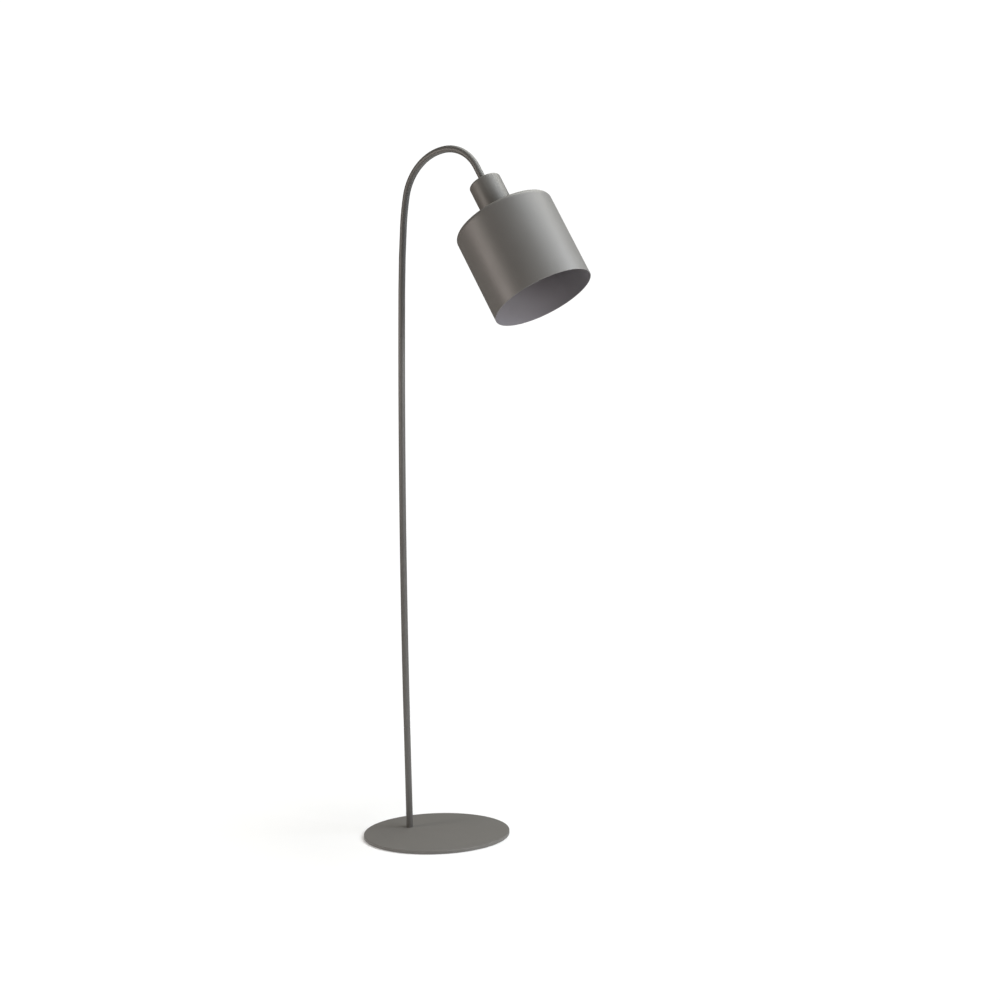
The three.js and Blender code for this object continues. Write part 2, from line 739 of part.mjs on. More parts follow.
function bulbEnvelope() {
  const tip = glassStart + BULB_LENGTH;
  const outer = [...bulbOutline(0), [0, tip]];
  const inner = [[0, tip - BULB_GLASS], ...bulbOutline(BULB_GLASS).reverse()];
  return turned([...outer, ...inner], FITTING_SIDES);
}

/** The threaded metal cap round the glass's neck. */
function bulbCap() {
  const outer = BULB_CAP_RADIUS;
  const inner = outer - BULB_CAP_WALL;
  const shoulder = capTop + BULB_CAP_SHOULDER;
  return turned(
    [
      [INSULATOR_RADIUS, capTop],
      [outer, shoulder],
      [outer, glassStart + BULB_CAP_LAP],
      [inner, glassStart + BULB_CAP_LAP],
      [inner, shoulder + BULB_CAP_WALL / 2],
      [INSULATOR_RADIUS - BULB_CAP_WALL, capTop + BULB_CAP_WALL],
      [INSULATOR_RADIUS - BULB_CAP_WALL, capTop],
    ],
    FITTING_SIDES,
  );
}

function bulbInsulator() {
  const base = capTop - GAP;
  const tip = capTop - INSULATOR_HEIGHT;
  const tipRadius = BULB_CONTACT_RADIUS + INSULATOR_LIP;
  const outline = [[0, tip], [tipRadius, tip], [INSULATOR_RADIUS, base], [0, base]];
  return turned(outline, FITTING_SIDES);
}

/** The sealed glass mount inside the bulb: a flare in the cap and a thin post. */
function bulbStem() {
  const flare = BULB_NECK_RADIUS - BULB_GLASS - GAP;
  const { height, radius, rim } = BULB_STEM_FOOT;
  return turned(
    [
      [0, glassStart],
      [flare, glassStart + rim / 3],
      [flare - rim, glassStart + rim],
      [radius, glassStart + height],
      [BULB_STEM_TIP_RADIUS, postTop],
      [0, postTop],
    ],
    BORE_SIDES,
  );
}

/** The cross on top of the post that carries the filaments' far ends. */
function filamentSpider() {
  const span = 2 * (FILAMENT_CIRCLE + SPIDER_ARM_WIDTH);
  const arm = () => new THREE.BoxGeometry(span, SPIDER_ARM_WIDTH, SPIDER_THICKNESS);
  return surface(solid(arm()).add(solid(arm().rotateZ(Math.PI / 2))));
}

/** One filament rod, parallel to the post. */
function bulbFilament() {
  return disc(FILAMENT_RADIUS, 0, FILAMENT_LENGTH, ROD_SIDES);
}

add(head, "bulb_cap", bulbCap(), aluminium());
add(head, "bulb_insulator", bulbInsulator(), blackPhenolic());
add(
  head,
  "bulb_contact",
  disc(BULB_CONTACT_RADIUS, contactTip, capTop - INSULATOR_HEIGHT - GAP, TUBE_SIDES),
  aluminium(),
);
add(head, "bulb_envelope", bulbEnvelope(), opalGlass());
add(head, "bulb_stem", bulbStem(), clearGlass());

const spider = add(head, "filament_spider", filamentSpider(), zincSteel());
spider.rotation.z = Math.PI / 4;
spider.position.z = postTop + GAP + SPIDER_THICKNESS / 2;

for (let index = 0; index < FILAMENT_COUNT; index += 1) {
  const angle = (2 * Math.PI * (index + 0.5)) / FILAMENT_COUNT;
  const filament = add(head, `bulb_filament_${index + 1}`, bulbFilament(), phosphor());
  filament.position.set(
    FILAMENT_CIRCLE * Math.cos(angle),
    FILAMENT_CIRCLE * Math.sin(angle),
    postTop - FILAMENT_LENGTH,
  );
}

export default lamp;
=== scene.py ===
"""Arched floor lamp, dressed and lit in a plain pale studio.

The lamp's lengths are in millimetres until a mesh is made; the studio and the scene are in metres.
The lamp stands on the middle of its base's underside, with +Z up, and reaches towards +X. A piece
is turned round a line: the stem's own bent centre line, or a straight axis such as the base's, the
foot's or the head's. A few small blocks keep the shape of their CAD nodes.
"""

import logging
import math
from abc import ABC, abstractmethod
from collections.abc import Callable, Mapping, Sequence
from dataclasses import dataclass, field
from enum import Enum
from typing import Any

import bmesh
import bpy
from mathutils import Matrix, Vector


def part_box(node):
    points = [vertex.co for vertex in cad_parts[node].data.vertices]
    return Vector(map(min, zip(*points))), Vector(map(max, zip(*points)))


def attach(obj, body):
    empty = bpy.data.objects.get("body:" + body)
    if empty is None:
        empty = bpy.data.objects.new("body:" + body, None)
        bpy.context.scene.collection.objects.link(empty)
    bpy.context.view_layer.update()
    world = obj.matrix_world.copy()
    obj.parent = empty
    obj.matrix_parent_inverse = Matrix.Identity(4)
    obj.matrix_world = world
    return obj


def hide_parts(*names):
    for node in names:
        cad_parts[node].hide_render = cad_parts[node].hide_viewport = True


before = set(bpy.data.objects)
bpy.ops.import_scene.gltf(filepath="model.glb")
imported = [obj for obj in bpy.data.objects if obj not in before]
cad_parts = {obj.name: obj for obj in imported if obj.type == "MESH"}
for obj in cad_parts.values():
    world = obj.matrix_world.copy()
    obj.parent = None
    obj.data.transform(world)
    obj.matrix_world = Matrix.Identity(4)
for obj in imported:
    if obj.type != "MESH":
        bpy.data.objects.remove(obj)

MM = 0.001
EDGE = "edge"
EDGE_START = 0.5
CREASE = 34.0
BULB_PITCH = 3.6
RING_PITCH = 2.5
LOG = logging.getLogger("floor_lamp")

Colour = tuple[float, float, float]
Outline = list[tuple[float, float]]
Relief = Callable[[float, float, float], float]


class Body(Enum):
    """The lamp's moving bodies."""

    BASE = "base"
    STEM = "stem"
    RING = "shade_ring"
    BULB = "bulb"


# ------------------------------------------------------------------------------ shader graphs


class Signal:
    """A socket that carries a number, on which arithmetic adds Math nodes."""

    def __init__(self, graph: "Graph", socket: bpy.types.NodeSocket) -> None:
        """Wraps `socket` of `graph`."""
        self.graph = graph
        self.socket = socket

    def _math(self, operation: str, first: Any, second: Any) -> "Signal":
        """Adds a Math node.

        Args:
            operation: the node's operation.
            first: its first value or signal.
            second: its second value or signal.

        Returns:
            The node's result.
        """
        return self.graph.signal("ShaderNodeMath", {"operation": operation}, {0: first, 1: second})

    def __add__(self, other: Any) -> "Signal":
        """self + other."""
        return self._math("ADD", self, other)

    def __radd__(self, other: Any) -> "Signal":
        """other + self."""
        return self._math("ADD", other, self)

    def __sub__(self, other: Any) -> "Signal":
        """self - other."""
        return self._math("SUBTRACT", self, other)

    def __rsub__(self, other: Any) -> "Signal":
        """other - self."""
        return self._math("SUBTRACT", other, self)

    def __mul__(self, other: Any) -> "Signal":
        """self * other."""
        return self._math("MULTIPLY", self, other)

    def __rmul__(self, other: Any) -> "Signal":
        """other * self."""
        return self._math("MULTIPLY", other, self)


class Graph:
    """A material's or a world's node tree."""

    def __init__(self, tree: bpy.types.NodeTree) -> None:
        """Empties `tree` and keeps it."""
        self.tree = tree
        tree.nodes.clear()

    def node(
        self,
        kind: str,
        settings: Mapping[str, Any] | None = None,
        inputs: Mapping[str | int, Any] | None = None,
    ) -> bpy.types.Node:
        """Adds a node.

        Args:
            kind: the node's type.
            settings: its properties, and "stops" for a ramp's (place, colour) pairs.
            inputs: values or links of its sockets, by name or number.

        Returns:
            The new node.
        """
        made = self.tree.nodes.new(kind)
        for name, value in (settings or {}).items():
            if name == "stops":
                self._set_stops(made.color_ramp, value)
            else:
                setattr(made, name, value)
        for name, value in (inputs or {}).items():
            if isinstance(value, Signal):
                self.tree.links.new(value.socket, made.inputs[name])
            else:
                made.inputs[name].default_value = value
        return made

    @staticmethod
    def _set_stops(ramp: bpy.types.ColorRamp, stops: Sequence[tuple[float, Colour]]) -> None:
        """Gives a ramp its stops.

        Args:
            ramp: the ramp.
            stops: (place, colour) pairs, in order.
        """
        while len(ramp.elements) < len(stops):
            ramp.elements.new(1.0)
        for element, (place, colour) in zip(ramp.elements, stops):
            element.position = place
            element.color = (*colour, 1.0)

    def signal(
        self,
        kind: str,
        settings: Mapping[str, Any] | None = None,
        inputs: Mapping[str | int, Any] | None = None,
        output: str | int = 0,
    ) -> Signal:
        """Adds a node and gives one of its outputs.

        Args:
            kind: the node's type.
            settings: its properties.
            inputs: values or links of its sockets.
            output: the output's name or number.

        Returns:
            That output as a signal.
        """
        return Signal(self, self.node(kind, settings, inputs).outputs[output])

    def close(
        self, kind: str, inputs: Mapping[str | int, Any], output: str = "ShaderNodeOutputMaterial"
    ) -> None:
        """Adds the tree's shader and links it to the tree's output.

        Args:
            kind: the shader's type.
            inputs: values or links of its sockets.
            output: the output node's type.
        """
        shader, end = self.node(kind, {}, inputs), self.node(output)
        self.tree.links.new(shader.outputs[0], end.inputs["Surface"])

    def place(self) -> Signal:
        """The point on the piece, in metres, which rides with it."""
        return self.signal("ShaderNodeTexCoord", output="Object")

    def noise(self, size: float, detail: float = 2.0, squeeze: Colour = (1, 1, 1)) -> Signal:
        """Soft noise from 0 to 1.

        Args:
            size: the patches' size in millimetres.
            detail: octaves.
            squeeze: how much denser the pattern is along X, Y and Z.

        Returns:
            The noise.
        """
        where = self.signal(
            "ShaderNodeVectorMath", {"operation": "MULTIPLY"}, {0: self.place(), 1: squeeze}
        )
        inputs = {"Vector": where, "Scale": 1 / (size * MM), "Detail": detail}
        return self.signal("ShaderNodeTexNoise", {}, inputs)

    def cells(self, size: float) -> Signal:
        """Distance from the nearest of scattered points, `size` millimetres apart."""
        inputs = {"Vector": self.place(), "Scale": 1 / (size * MM)}
        return self.signal("ShaderNodeTexVoronoi", {}, inputs, output="Distance")

    def edges(self) -> Signal:
        """1 on the piece's small outer edges, and 0 elsewhere."""
        settings = {"attribute_type": "GEOMETRY", "attribute_name": EDGE}
        return self.signal("ShaderNodeAttribute", settings, output="Fac")

    def mapped(self, value: Signal, low: float, high: float) -> Signal:
        """Spreads `value` so that `low` gives 0 and `high` gives 1, clamped.

        Args:
            value: the signal.
            low: what becomes 0.
            high: what becomes 1.

        Returns:
            The clamped signal.
        """
        inputs = {"Value": value, "From Min": low, "From Max": high}
        return self.signal("ShaderNodeMapRange", {"clamp": True}, inputs)

    def mix(self, amount: Any, first: Any, second: Any) -> Signal:
        """Blends two colours.

        Args:
            amount: 0 for the first colour, 1 for the second.
            first: a colour or a signal that carries one.
            second: a colour or a signal that carries one.

        Returns:
            The blended colour.
        """
        made = self.node("ShaderNodeMix", {"data_type": "RGBA"}, {"Factor": amount})
        for name, value in (("A", first), ("B", second)):
            wanted = [s for s in made.inputs if s.name == name and s.type == "RGBA"][0]
            if isinstance(value, Signal):
                self.tree.links.new(value.socket, wanted)
            else:
                wanted.default_value = (*value, 1.0)
        return Signal(self, [s for s in made.outputs if s.type == "RGBA"][0])

    def tinted(self, colour: Colour, change: Signal, strength: float) -> Signal:
        """Makes `colour` darker and lighter.

        Args:
            colour: the colour at a change of a half.
            change: a signal from 0 to 1.
            strength: the share by which the ends differ from the middle.

        Returns:
            The varied colour.
        """
        dark = tuple(c * (1 - strength) for c in colour)
        light = tuple(min(c * (1 + strength), 1.0) for c in colour)
        return self.mix(change, dark, light)

    def bump(self, height: Signal, depth: float) -> Signal:
        """Raises the surface by `height` times `depth` millimetres.

        Args:
            height: a signal from 0 to 1.
            depth: the relief in millimetres.

        Returns:
            The bent normal.
        """
        inputs = {"Height": height, "Distance": depth * MM, "Strength": 1.0}
        return self.signal("ShaderNodeBump", {}, inputs)


# ------------------------------------------------------------------------------ finishes


@dataclass(frozen=True)
class Finish(ABC):
    """What a surface is made of."""

    name: str
    colour: Colour

    def material(self) -> bpy.types.Material:
        """The finish as a material, made once."""
        known = bpy.data.materials.get(self.name)
        if known is not None:
            return known
        made = bpy.data.materials.new(self.name)
        made.use_nodes = True
        graph = Graph(made.node_tree)
        graph.close("ShaderNodeBsdfPrincipled", self.sockets(graph))
        made.diffuse_color = (*self.colour, 1.0)
        return made

    @abstractmethod
    def sockets(self, graph: Graph) -> dict[str | int, Any]:
        """The shader's values and links.

        Args:
            graph: the material's nodes.

        Returns:
            Values and signals by socket name.
        """


@dataclass(frozen=True)
class PowderCoat(Finish):
    """Fine satin powder coat: a baked film with faint orange peel, thinner and lighter on its small
    edges, where the lighter colour is also a painted highlight.
    """

    roughness: float = 0.42
    peel_size: float = 1.7
    peel_depth: float = 0.004
    grain_size: float = 0.32
    grain_depth: float = 0.0012
    # The lighter edge colour and how much of it is mixed in: a thinner coat on small edges, and also a
    # painted highlight along them.
    edge: Colour = (0.27, 0.262, 0.25)
    wear_and_highlight: float = 0.6

    def sockets(self, graph: Graph) -> dict[str | int, Any]:
        """The shader's values and links.

        Args:
            graph: the material's nodes.

        Returns:
            Values and signals by socket name.
        """
        cloud = graph.noise(34.0, 3.0)
        peel = graph.noise(self.peel_size)
        grain = graph.noise(self.grain_size, 3.0)
        sparkle = graph.mapped(graph.cells(0.5), 0.02, 0.3)
        tone = cloud * 0.5 + grain * 0.3 + sparkle * 0.2
        body = graph.tinted(self.colour, tone, 0.07)
        # Lighter colour on small edges: a thinner coat there, and a painted highlight along them.
        edge_wear_and_highlight = graph.edges() * graph.mapped(cloud, 0.3, 0.7) * self.wear_and_highlight
        film = graph.bump(peel, self.peel_depth)
        inputs = {"Height": grain, "Distance": self.grain_depth * MM, "Normal": film}
        return {
            "Base Color": graph.mix(edge_wear_and_highlight, body, self.edge),
            "Roughness": self.roughness + (cloud - 0.5) * 0.08 + (grain - 0.5) * 0.05,
            "Normal": graph.signal("ShaderNodeBump", {}, inputs),
            "IOR": 1.5,
        }


@dataclass(frozen=True)
class BareMetal(Finish):
    """Plated, turned or drawn metal with fine tool marks and a little staining."""

    stain: Colour = (0.4, 0.38, 0.34)
    roughness: float = 0.32
    marks: Colour = (1.0, 1.0, 7.0)

    def sockets(self, graph: Graph) -> dict[str | int, Any]:
        """The shader's values and links.

        Args:
            graph: the material's nodes.

        Returns:
            Values and signals by socket name.
        """
        patches = graph.noise(5.0, 3.0)
        lines = graph.noise(1.4, 3.0, self.marks)
        stained = graph.mapped(patches, 0.5, 0.85) * 0.6
        return {
            "Base Color": graph.mix(stained, graph.tinted(self.colour, lines, 0.08), self.stain),
            "Roughness": self.roughness + (lines - 0.5) * 0.16 + stained * 0.2,
            "Metallic": 1.0,
            "Normal": graph.bump(lines, 0.01),
        }


@dataclass(frozen=True)
class Moulded(Finish):
    """Moulded or extruded plastic, resin or rubber."""

    roughness: float = 0.5
    mottle: float = 0.12
    grain_size: float = 0.6
    grain_depth: float = 0.004
    coat: float = 0.0

    def sockets(self, graph: Graph) -> dict[str | int, Any]:
        """The shader's values and links.

        Args:
            graph: the material's nodes.

        Returns:
            Values and signals by socket name.
        """
        flow = graph.noise(9.0, 3.0)
        grain = graph.noise(self.grain_size, 2.0)
        return {
            "Base Color": graph.tinted(self.colour, flow * 0.6 + grain * 0.4, self.mottle),
            "Roughness": self.roughness + (flow - 0.5) * 0.12 + (grain - 0.5) * 0.06,
            "Coat Weight": self.coat,
            "Coat Roughness": 0.15,
            "Normal": graph.bump(grain, self.grain_depth),
        }


@dataclass(frozen=True)
class Foam(Finish):
    """Closed-cell foam sheet with its small cut cells."""

    cell: float = 0.7

    def sockets(self, graph: Graph) -> dict[str | int, Any]:
        """The shader's values and links.

        Args:
            graph: the material's nodes.

        Returns:
            Values and signals by socket name.
        """
        pores = graph.mapped(graph.cells(self.cell), 0.0, 0.6)
        dust = graph.noise(16.0, 3.0)
        return {
            "Base Color": graph.tinted(self.colour, pores * 0.6 + dust * 0.4, 0.35),
            "Roughness": 0.88 + dust * 0.1,
            "Normal": graph.bump(pores, 0.09),
        }


@dataclass(frozen=True)
class Ceramic(Finish):
    """Unglazed pressed ceramic, chalky with a few dark specks."""

    speck: Colour = (0.45, 0.4, 0.33)

    def sockets(self, graph: Graph) -> dict[str | int, Any]:
        """The shader's values and links.

        Args:
            graph: the material's nodes.

        Returns:
            Values and signals by socket name.
        """
        powder = graph.noise(0.5, 3.0)
        specks = 1 - graph.mapped(graph.cells(1.6), 0.06, 0.12)
        return {
            "Base Color": graph.mix(specks, graph.tinted(self.colour, powder, 0.06), self.speck),
            "Roughness": 0.62 + (powder - 0.5) * 0.2,
            "Normal": graph.bump(powder, 0.012),
        }


@dataclass(frozen=True)
class Opal(Finish):
    """Opal glass: clear and glossy outside, with a white powder coat behind it."""

    def sockets(self, graph: Graph) -> dict[str | int, Any]:
        """The shader's values and links.

        Args:
            graph: the material's nodes.

        Returns:
            Values and signals by socket name.
        """
        cloud = graph.noise(11.0, 2.0)
        return {
            "Base Color": graph.tinted(self.colour, cloud, 0.025),
            "Roughness": 0.3 + (cloud - 0.5) * 0.08,
            "Coat Weight": 0.6,
            "Coat Roughness": 0.05,
            "Subsurface Weight": 0.25,
            "Subsurface Radius": (0.004, 0.004, 0.0035),
            "Normal": graph.bump(cloud, 0.02),
        }


@dataclass(frozen=True)
class Clear(Finish):
    """Clear drawn glass with faint ripples."""

    def sockets(self, graph: Graph) -> dict[str | int, Any]:
        """The shader's values and links.

        Args:
            graph: the material's nodes.

        Returns:
            Values and signals by socket name.
        """
        ripple = graph.noise(4.0, 2.0)
        return {
            "Base Color": graph.tinted(self.colour, ripple, 0.03),
            "Roughness": 0.03 + ripple * 0.04,
            "Transmission Weight": 1.0,
            "IOR": 1.5,
            "Normal": graph.bump(ripple, 0.01),
        }


GREY = (0.172, 0.164, 0.152)
GREY_COAT = PowderCoat("grey_powder_coat", GREY)
# The tubes' coat is a darker copy of the same grey paint: painted shade on the stem.
TUBE_PAINTED_SHADE_COAT = PowderCoat("tube_painted_shade_coat", (0.135, 0.129, 0.12))
# Less of the lighter edges on the base: less painted highlight and thinner coat along its rim.
BASE_COAT = PowderCoat("base_powder_coat", GREY, roughness=0.58, wear_and_highlight=0.15)
SHADE_COAT = PowderCoat("shade_powder_coat", (0.172, 0.165, 0.155), roughness=0.43)
# The shade's inside is a lighter, cooler copy of its paint: painted light inside the shade.
SHADE_LINING_PAINTED_LIGHT = PowderCoat("shade_lining_painted_light_coat", (0.238, 0.222, 0.235), roughness=0.6)
ZINC = BareMetal("bright_zinc", (0.62, 0.64, 0.66))
BRASS = BareMetal("turned_brass", (0.73, 0.52, 0.22), stain=(0.38, 0.25, 0.1))
ALUMINIUM = BareMetal("drawn_aluminium", (0.74, 0.74, 0.75), stain=(0.5, 0.5, 0.5))
PHENOLIC = Moulded("black_phenolic", (0.014, 0.014, 0.015), roughness=0.38, coat=0.15)
RUBBER = Moulded("black_rubber", (0.02, 0.02, 0.02), roughness=0.78, grain_depth=0.01)
SHEATH = Moulded("lead_sheath", (0.028, 0.028, 0.03), roughness=0.55)
NYLON = Moulded("grey_nylon", (0.1, 0.098, 0.094), roughness=0.55)
BROWN_CORE = Moulded("brown_core", (0.12, 0.05, 0.02), roughness=0.45)
BLUE_CORE = Moulded("blue_core", (0.03, 0.1, 0.35), roughness=0.45)
PHOSPHOR = Moulded("phosphor_coat", (0.8, 0.47, 0.07), roughness=0.6, grain_depth=0.02)
FOAM = Foam("pad_foam", (0.03, 0.03, 0.031))
STEATITE = Ceramic("steatite", (0.78, 0.74, 0.66))
OPAL = Opal("opal_glass", (0.86, 0.84, 0.79))
GLASS = Clear("clear_glass", (0.92, 0.94, 0.94))


# ------------------------------------------------------------------------------ lines


@dataclass(frozen=True)
class Station:
    """A place on a line: its centre, and the directions of a section's angles 0 and 90."""

    centre: Vector
    across: Vector
    side: Vector


class Line(ABC):
    """A line that a piece is turned round."""

    @abstractmethod
    def at(self, distance: float) -> Station:
        """The station `distance` millimetres along the line."""


@dataclass(frozen=True)
class Axis(Line):
    """A straight line."""

    origin: Vector
    along: Vector = field(default_factory=lambda: Vector((0, 0, 1)))
    across: Vector = field(default_factory=lambda: Vector((1, 0, 0)))

    def at(self, distance: float) -> Station:
        """The station `distance` millimetres along the line."""
        side = self.along.cross(self.across)
        return Station(self.origin + self.along * distance, self.across, side)

    def point(self, x: float, y: float, z: float) -> Vector:
        """The point at x across, y aside and z along."""
        station = self.at(z)
        return station.centre + station.across * x + station.side * y


@dataclass(frozen=True)
class Bend:
    """An arc of the stem's centre line, bent forward: radius in millimetres, turn in degrees."""

    radius: float
    turn: float

    @property
    def length(self) -> float:
        """The arc's length."""
        return self.radius * math.radians(self.turn)


@dataclass(frozen=True)
class BentLine(Line):
    """A line in the XZ plane: a straight run, arcs one after another, and a last straight run."""

    start: Vector
    bends: tuple[Bend, ...]
    run: float
    first_run: float = 0.0
    heading: float = 0.0
    longest_step: float = 70.0
    shortest_step: float = 0.1

    @property
    def length(self) -> float:
        """The whole line's length."""
        return self.first_run + sum(bend.length for bend in self.bends) + self.run

    def at(self, distance: float) -> Station:
        """The place at a distance along the line.

        Args:
            distance: millimetres from the start; it may lie past either end.

        Returns:
            The station.
        """
        heading = math.radians(self.heading)
        straight = min(distance, self.first_run)
        x = self.start.x + straight * math.sin(heading)
        z = self.start.z + straight * math.cos(heading)
        left = distance - straight
        for bend in self.bends:
            if left <= 0:
                break
            part = min(left, bend.length)
            after = heading + part / bend.radius
            x += bend.radius * (math.cos(heading) - math.cos(after))
            z += bend.radius * (math.sin(after) - math.sin(heading))
            heading, left = after, left - part
        centre = Vector((x + left * math.sin(heading), 0, z + left * math.cos(heading)))
        across = Vector((math.cos(heading), 0, -math.sin(heading)))
        return Station(centre, across, Vector((0, 1, 0)))

    def stops(self, begin: float, end: float, step: float = 1.9) -> list[float]:
        """Distances from `begin` to `end` that follow the bends.

        Args:
            begin: the first distance.
            end: the last distance.
            step: the largest turn between two, in degrees.

        Returns:
            The distances, in order.
        """
        found, passed = [self.first_run], self.first_run
        for bend in self.bends:
            count = math.ceil(max(bend.turn / step, bend.length / self.longest_step))
            found += [passed + bend.length * (i + 1) / count for i in range(count)]
            passed += bend.length
        low, high = begin + self.shortest_step, end - self.shortest_step
        return [begin] + [stop for stop in found if low < stop < high] + [end]


@dataclass(frozen=True)
class SoftLine(Line):
    """A smooth line through points that lie in a plane across `side`."""

    points: tuple[Vector, ...]
    side: Vector

    def at(self, distance: float) -> Station:
        """The place at a distance along the line.

        Args:
            distance: how far along, counted in points from 0 to the last.

        Returns:
            The station.
        """
        index = min(max(int(distance), 0), len(self.points) - 2)
        t = distance - index
        before, first = self.points[max(index - 1, 0)], self.points[index]
        second, after = self.points[index + 1], self.points[min(index + 2, len(self.points) - 1)]
        leave, arrive = (second - before) / 2, (after - first) / 2
        centre = (
            first * (2 * t**3 - 3 * t**2 + 1)
            + leave * (t**3 - 2 * t**2 + t)
            + second * (3 * t**2 - 2 * t**3)
            + arrive * (t**3 - t**2)
        )
        along = (
            first * (6 * t**2 - 6 * t)
            + leave * (3 * t**2 - 4 * t + 1)
            + second * (6 * t - 6 * t**2)
            + arrive * (3 * t**2 - 2 * t)
        ).normalized()
        return Station(centre, self.side.cross(along), self.side)


# ------------------------------------------------------------------------------ outlines


def eased(corners: Sequence[tuple[float, float, float]], steps: int = 6) -> Outline:
    """Rounds the corners of an outline.

    Args:
        corners: (radius, distance, fillet) of each corner.
        steps: points on each fillet.

    Returns:
        The outline, with a row close beside each fillet that keeps its neighbours flat.
    """
    made: Outline = []
    count = len(corners)
    for index, (radius, distance, fillet) in enumerate(corners):
        here = Vector((radius, distance))
        if fillet <= 0:
            made.append((radius, distance))
            continue
        before = Vector(corners[index - 1][:2]) - here
        after = Vector(corners[(index + 1) % count][:2]) - here
        half = before.angle(after) / 2
        room = 0.49 * min(before.length, after.length)
        reach = min(fillet / math.tan(half), room)
        bend = reach * math.tan(half)
        before.normalize()
        after.normalize()
        centre = here + (before + after).normalized() * (bend / math.sin(half))
        start, end = here + before * reach - centre, here + after * reach - centre
        sweep = start.angle_signed(end)
        support = min(0.4 * reach, room - reach)
        if support > 0.01:
            made.append(tuple(here + before * (reach + support)))
        for step in range(steps + 1):
            turned = Matrix.Rotation(-sweep * step / steps, 2) @ start
            made.append(tuple(centre + turned))
        if support > 0.01:
            made.append(tuple(here + after * (reach + support)))
    return made


def rows(radius: float, begin: float, end: float, count: int) -> Outline:
    """Evenly spaced rows of one radius.

    Args:
        radius: the radius.
        begin: the first distance.
        end: the last distance.
        count: steps between them.

    Returns:
        The rows.
    """
    return [(radius, begin + (end - begin) * i / count) for i in range(count + 1)]


def cylinder(radius: float, begin: float, end: float) -> Outline:
    """A plain cylinder's outline.

    Args:
        radius: its radius.
        begin: where it starts.
        end: where it ends.

    Returns:
        The outline.
    """
    return [(0, begin), (radius, begin), (radius, end), (0, end)]


@dataclass(frozen=True)
class Thread:
    """A helical groove between two distances, on the surface at `radius`."""

    radius: float
    begin: float
    end: float
    pitch: float
    depth: float
    outward: bool = False
    rows_per_turn: int = 8

    def rows(self) -> Outline:
        """The rows that the groove needs."""
        count = math.ceil(abs(self.end - self.begin) / self.pitch * self.rows_per_turn)
        return rows(self.radius, self.begin, self.end, count)

    def relief(self, angle: float, radius: float, distance: float) -> float:
        """How far the groove moves a point.

        Args:
            angle: the point's angle.
            radius: its radius before that.
            distance: its distance along the axis.

        Returns:
            The change of its radius.
        """
        low, high = sorted((self.begin, self.end))
        if abs(radius - self.radius) > 0.01 or not low <= distance <= high:
            return 0.0
        fade = min(1.0, (distance - low) / self.pitch, (high - distance) / self.pitch)
        wave = 0.5 - 0.5 * math.cos(2 * math.pi * (distance / self.pitch) - angle)
        return (1 if self.outward else -1) * self.depth * wave * fade


def together(*threads: Thread) -> Relief:
    """The relief of several threads on one piece."""
    return lambda angle, radius, distance: sum(
        thread.relief(angle, radius, distance) for thread in threads
    )


# ------------------------------------------------------------------------------ making pieces


def _mark_edges(work: bmesh.types.BMesh) -> None:
    """Marks the outer edges that are rounded by less than about a millimetre.

    Args:
        work: the bmesh, in millimetres, with its normals outward.
    """
    layer = work.verts.layers.float.new(EDGE)
    for edge in work.edges:
        if len(edge.link_faces) != 2:
            continue
        first, second = (face.calc_center_median() for face in edge.link_faces)
        tightness = edge.calc_face_angle_signed(0.0) / max((second - first).length, 1e-6)
        for vertex in edge.verts:
            vertex[layer] = max(vertex[layer], min(tightness - EDGE_START, 1.0))


def _linked(name: str, work: bmesh.types.BMesh, crease: float) -> bpy.types.Object:
    """Turns a finished bmesh into an object.

    Args:
        name: the piece's name.
        work: the bmesh, in millimetres; it is freed.
        crease: the angle, in degrees, past which an edge is drawn sharp.

    Returns:
        The object, in metres.
    """
    bmesh.ops.recalc_face_normals(work, faces=work.faces)
    _mark_edges(work)
    bmesh.ops.scale(work, vec=(MM, MM, MM), verts=work.verts)
    mesh = bpy.data.meshes.new(name)
    work.to_mesh(mesh)
    work.free()
    mesh.shade_smooth()
    mesh.set_sharp_from_angle(angle=math.radians(crease))
    piece = bpy.data.objects.new(name, mesh)
    bpy.context.scene.collection.objects.link(piece)
    return piece


def turned(
    name: str,
    line: Line,
    outline: Outline,
    sides: int,
    relief: Relief | None = None,
    crease: float = CREASE,
) -> bpy.types.Object:
    """Turns an outline round a line.

    Args:
        name: the piece's name.
        line: the line, straight or bent.
        outline: (radius, distance) pairs that close on themselves, or start and end at radius 0.
        sides: sides of the round.
        relief: what adds to the radius at an angle, radius and distance.
        crease: the angle past which an edge is drawn sharp.

    Returns:
        The piece.
    """
    work = bmesh.new()
    rings: list[list[bmesh.types.BMVert]] = []
    for radius, distance in outline:
        station = line.at(distance)
        if radius <= 0:
            rings.append([work.verts.new(station.centre)])
            continue
        ring = []
        for index in range(sides):
            angle = 2 * math.pi * index / sides
            reach = radius + (relief(angle, radius, distance) if relief else 0.0)
            offset = station.across * math.cos(angle) + station.side * math.sin(angle)
            ring.append(work.verts.new(station.centre + offset * reach))
        rings.append(ring)
    pairs = list(zip(rings, rings[1:]))
    if len(rings[0]) > 1:
        pairs.append((rings[-1], rings[0]))
    for first, second in pairs:
        for index in range(sides):
            following = (index + 1) % sides
            corners = [first[index % len(first)], first[following % len(first)]]
            corners += [second[following % len(second)], second[index % len(second)]]
            unique = list(dict.fromkeys(corners))
            if len(unique) > 2:
                work.faces.new(unique)
    return _linked(name, work, crease)


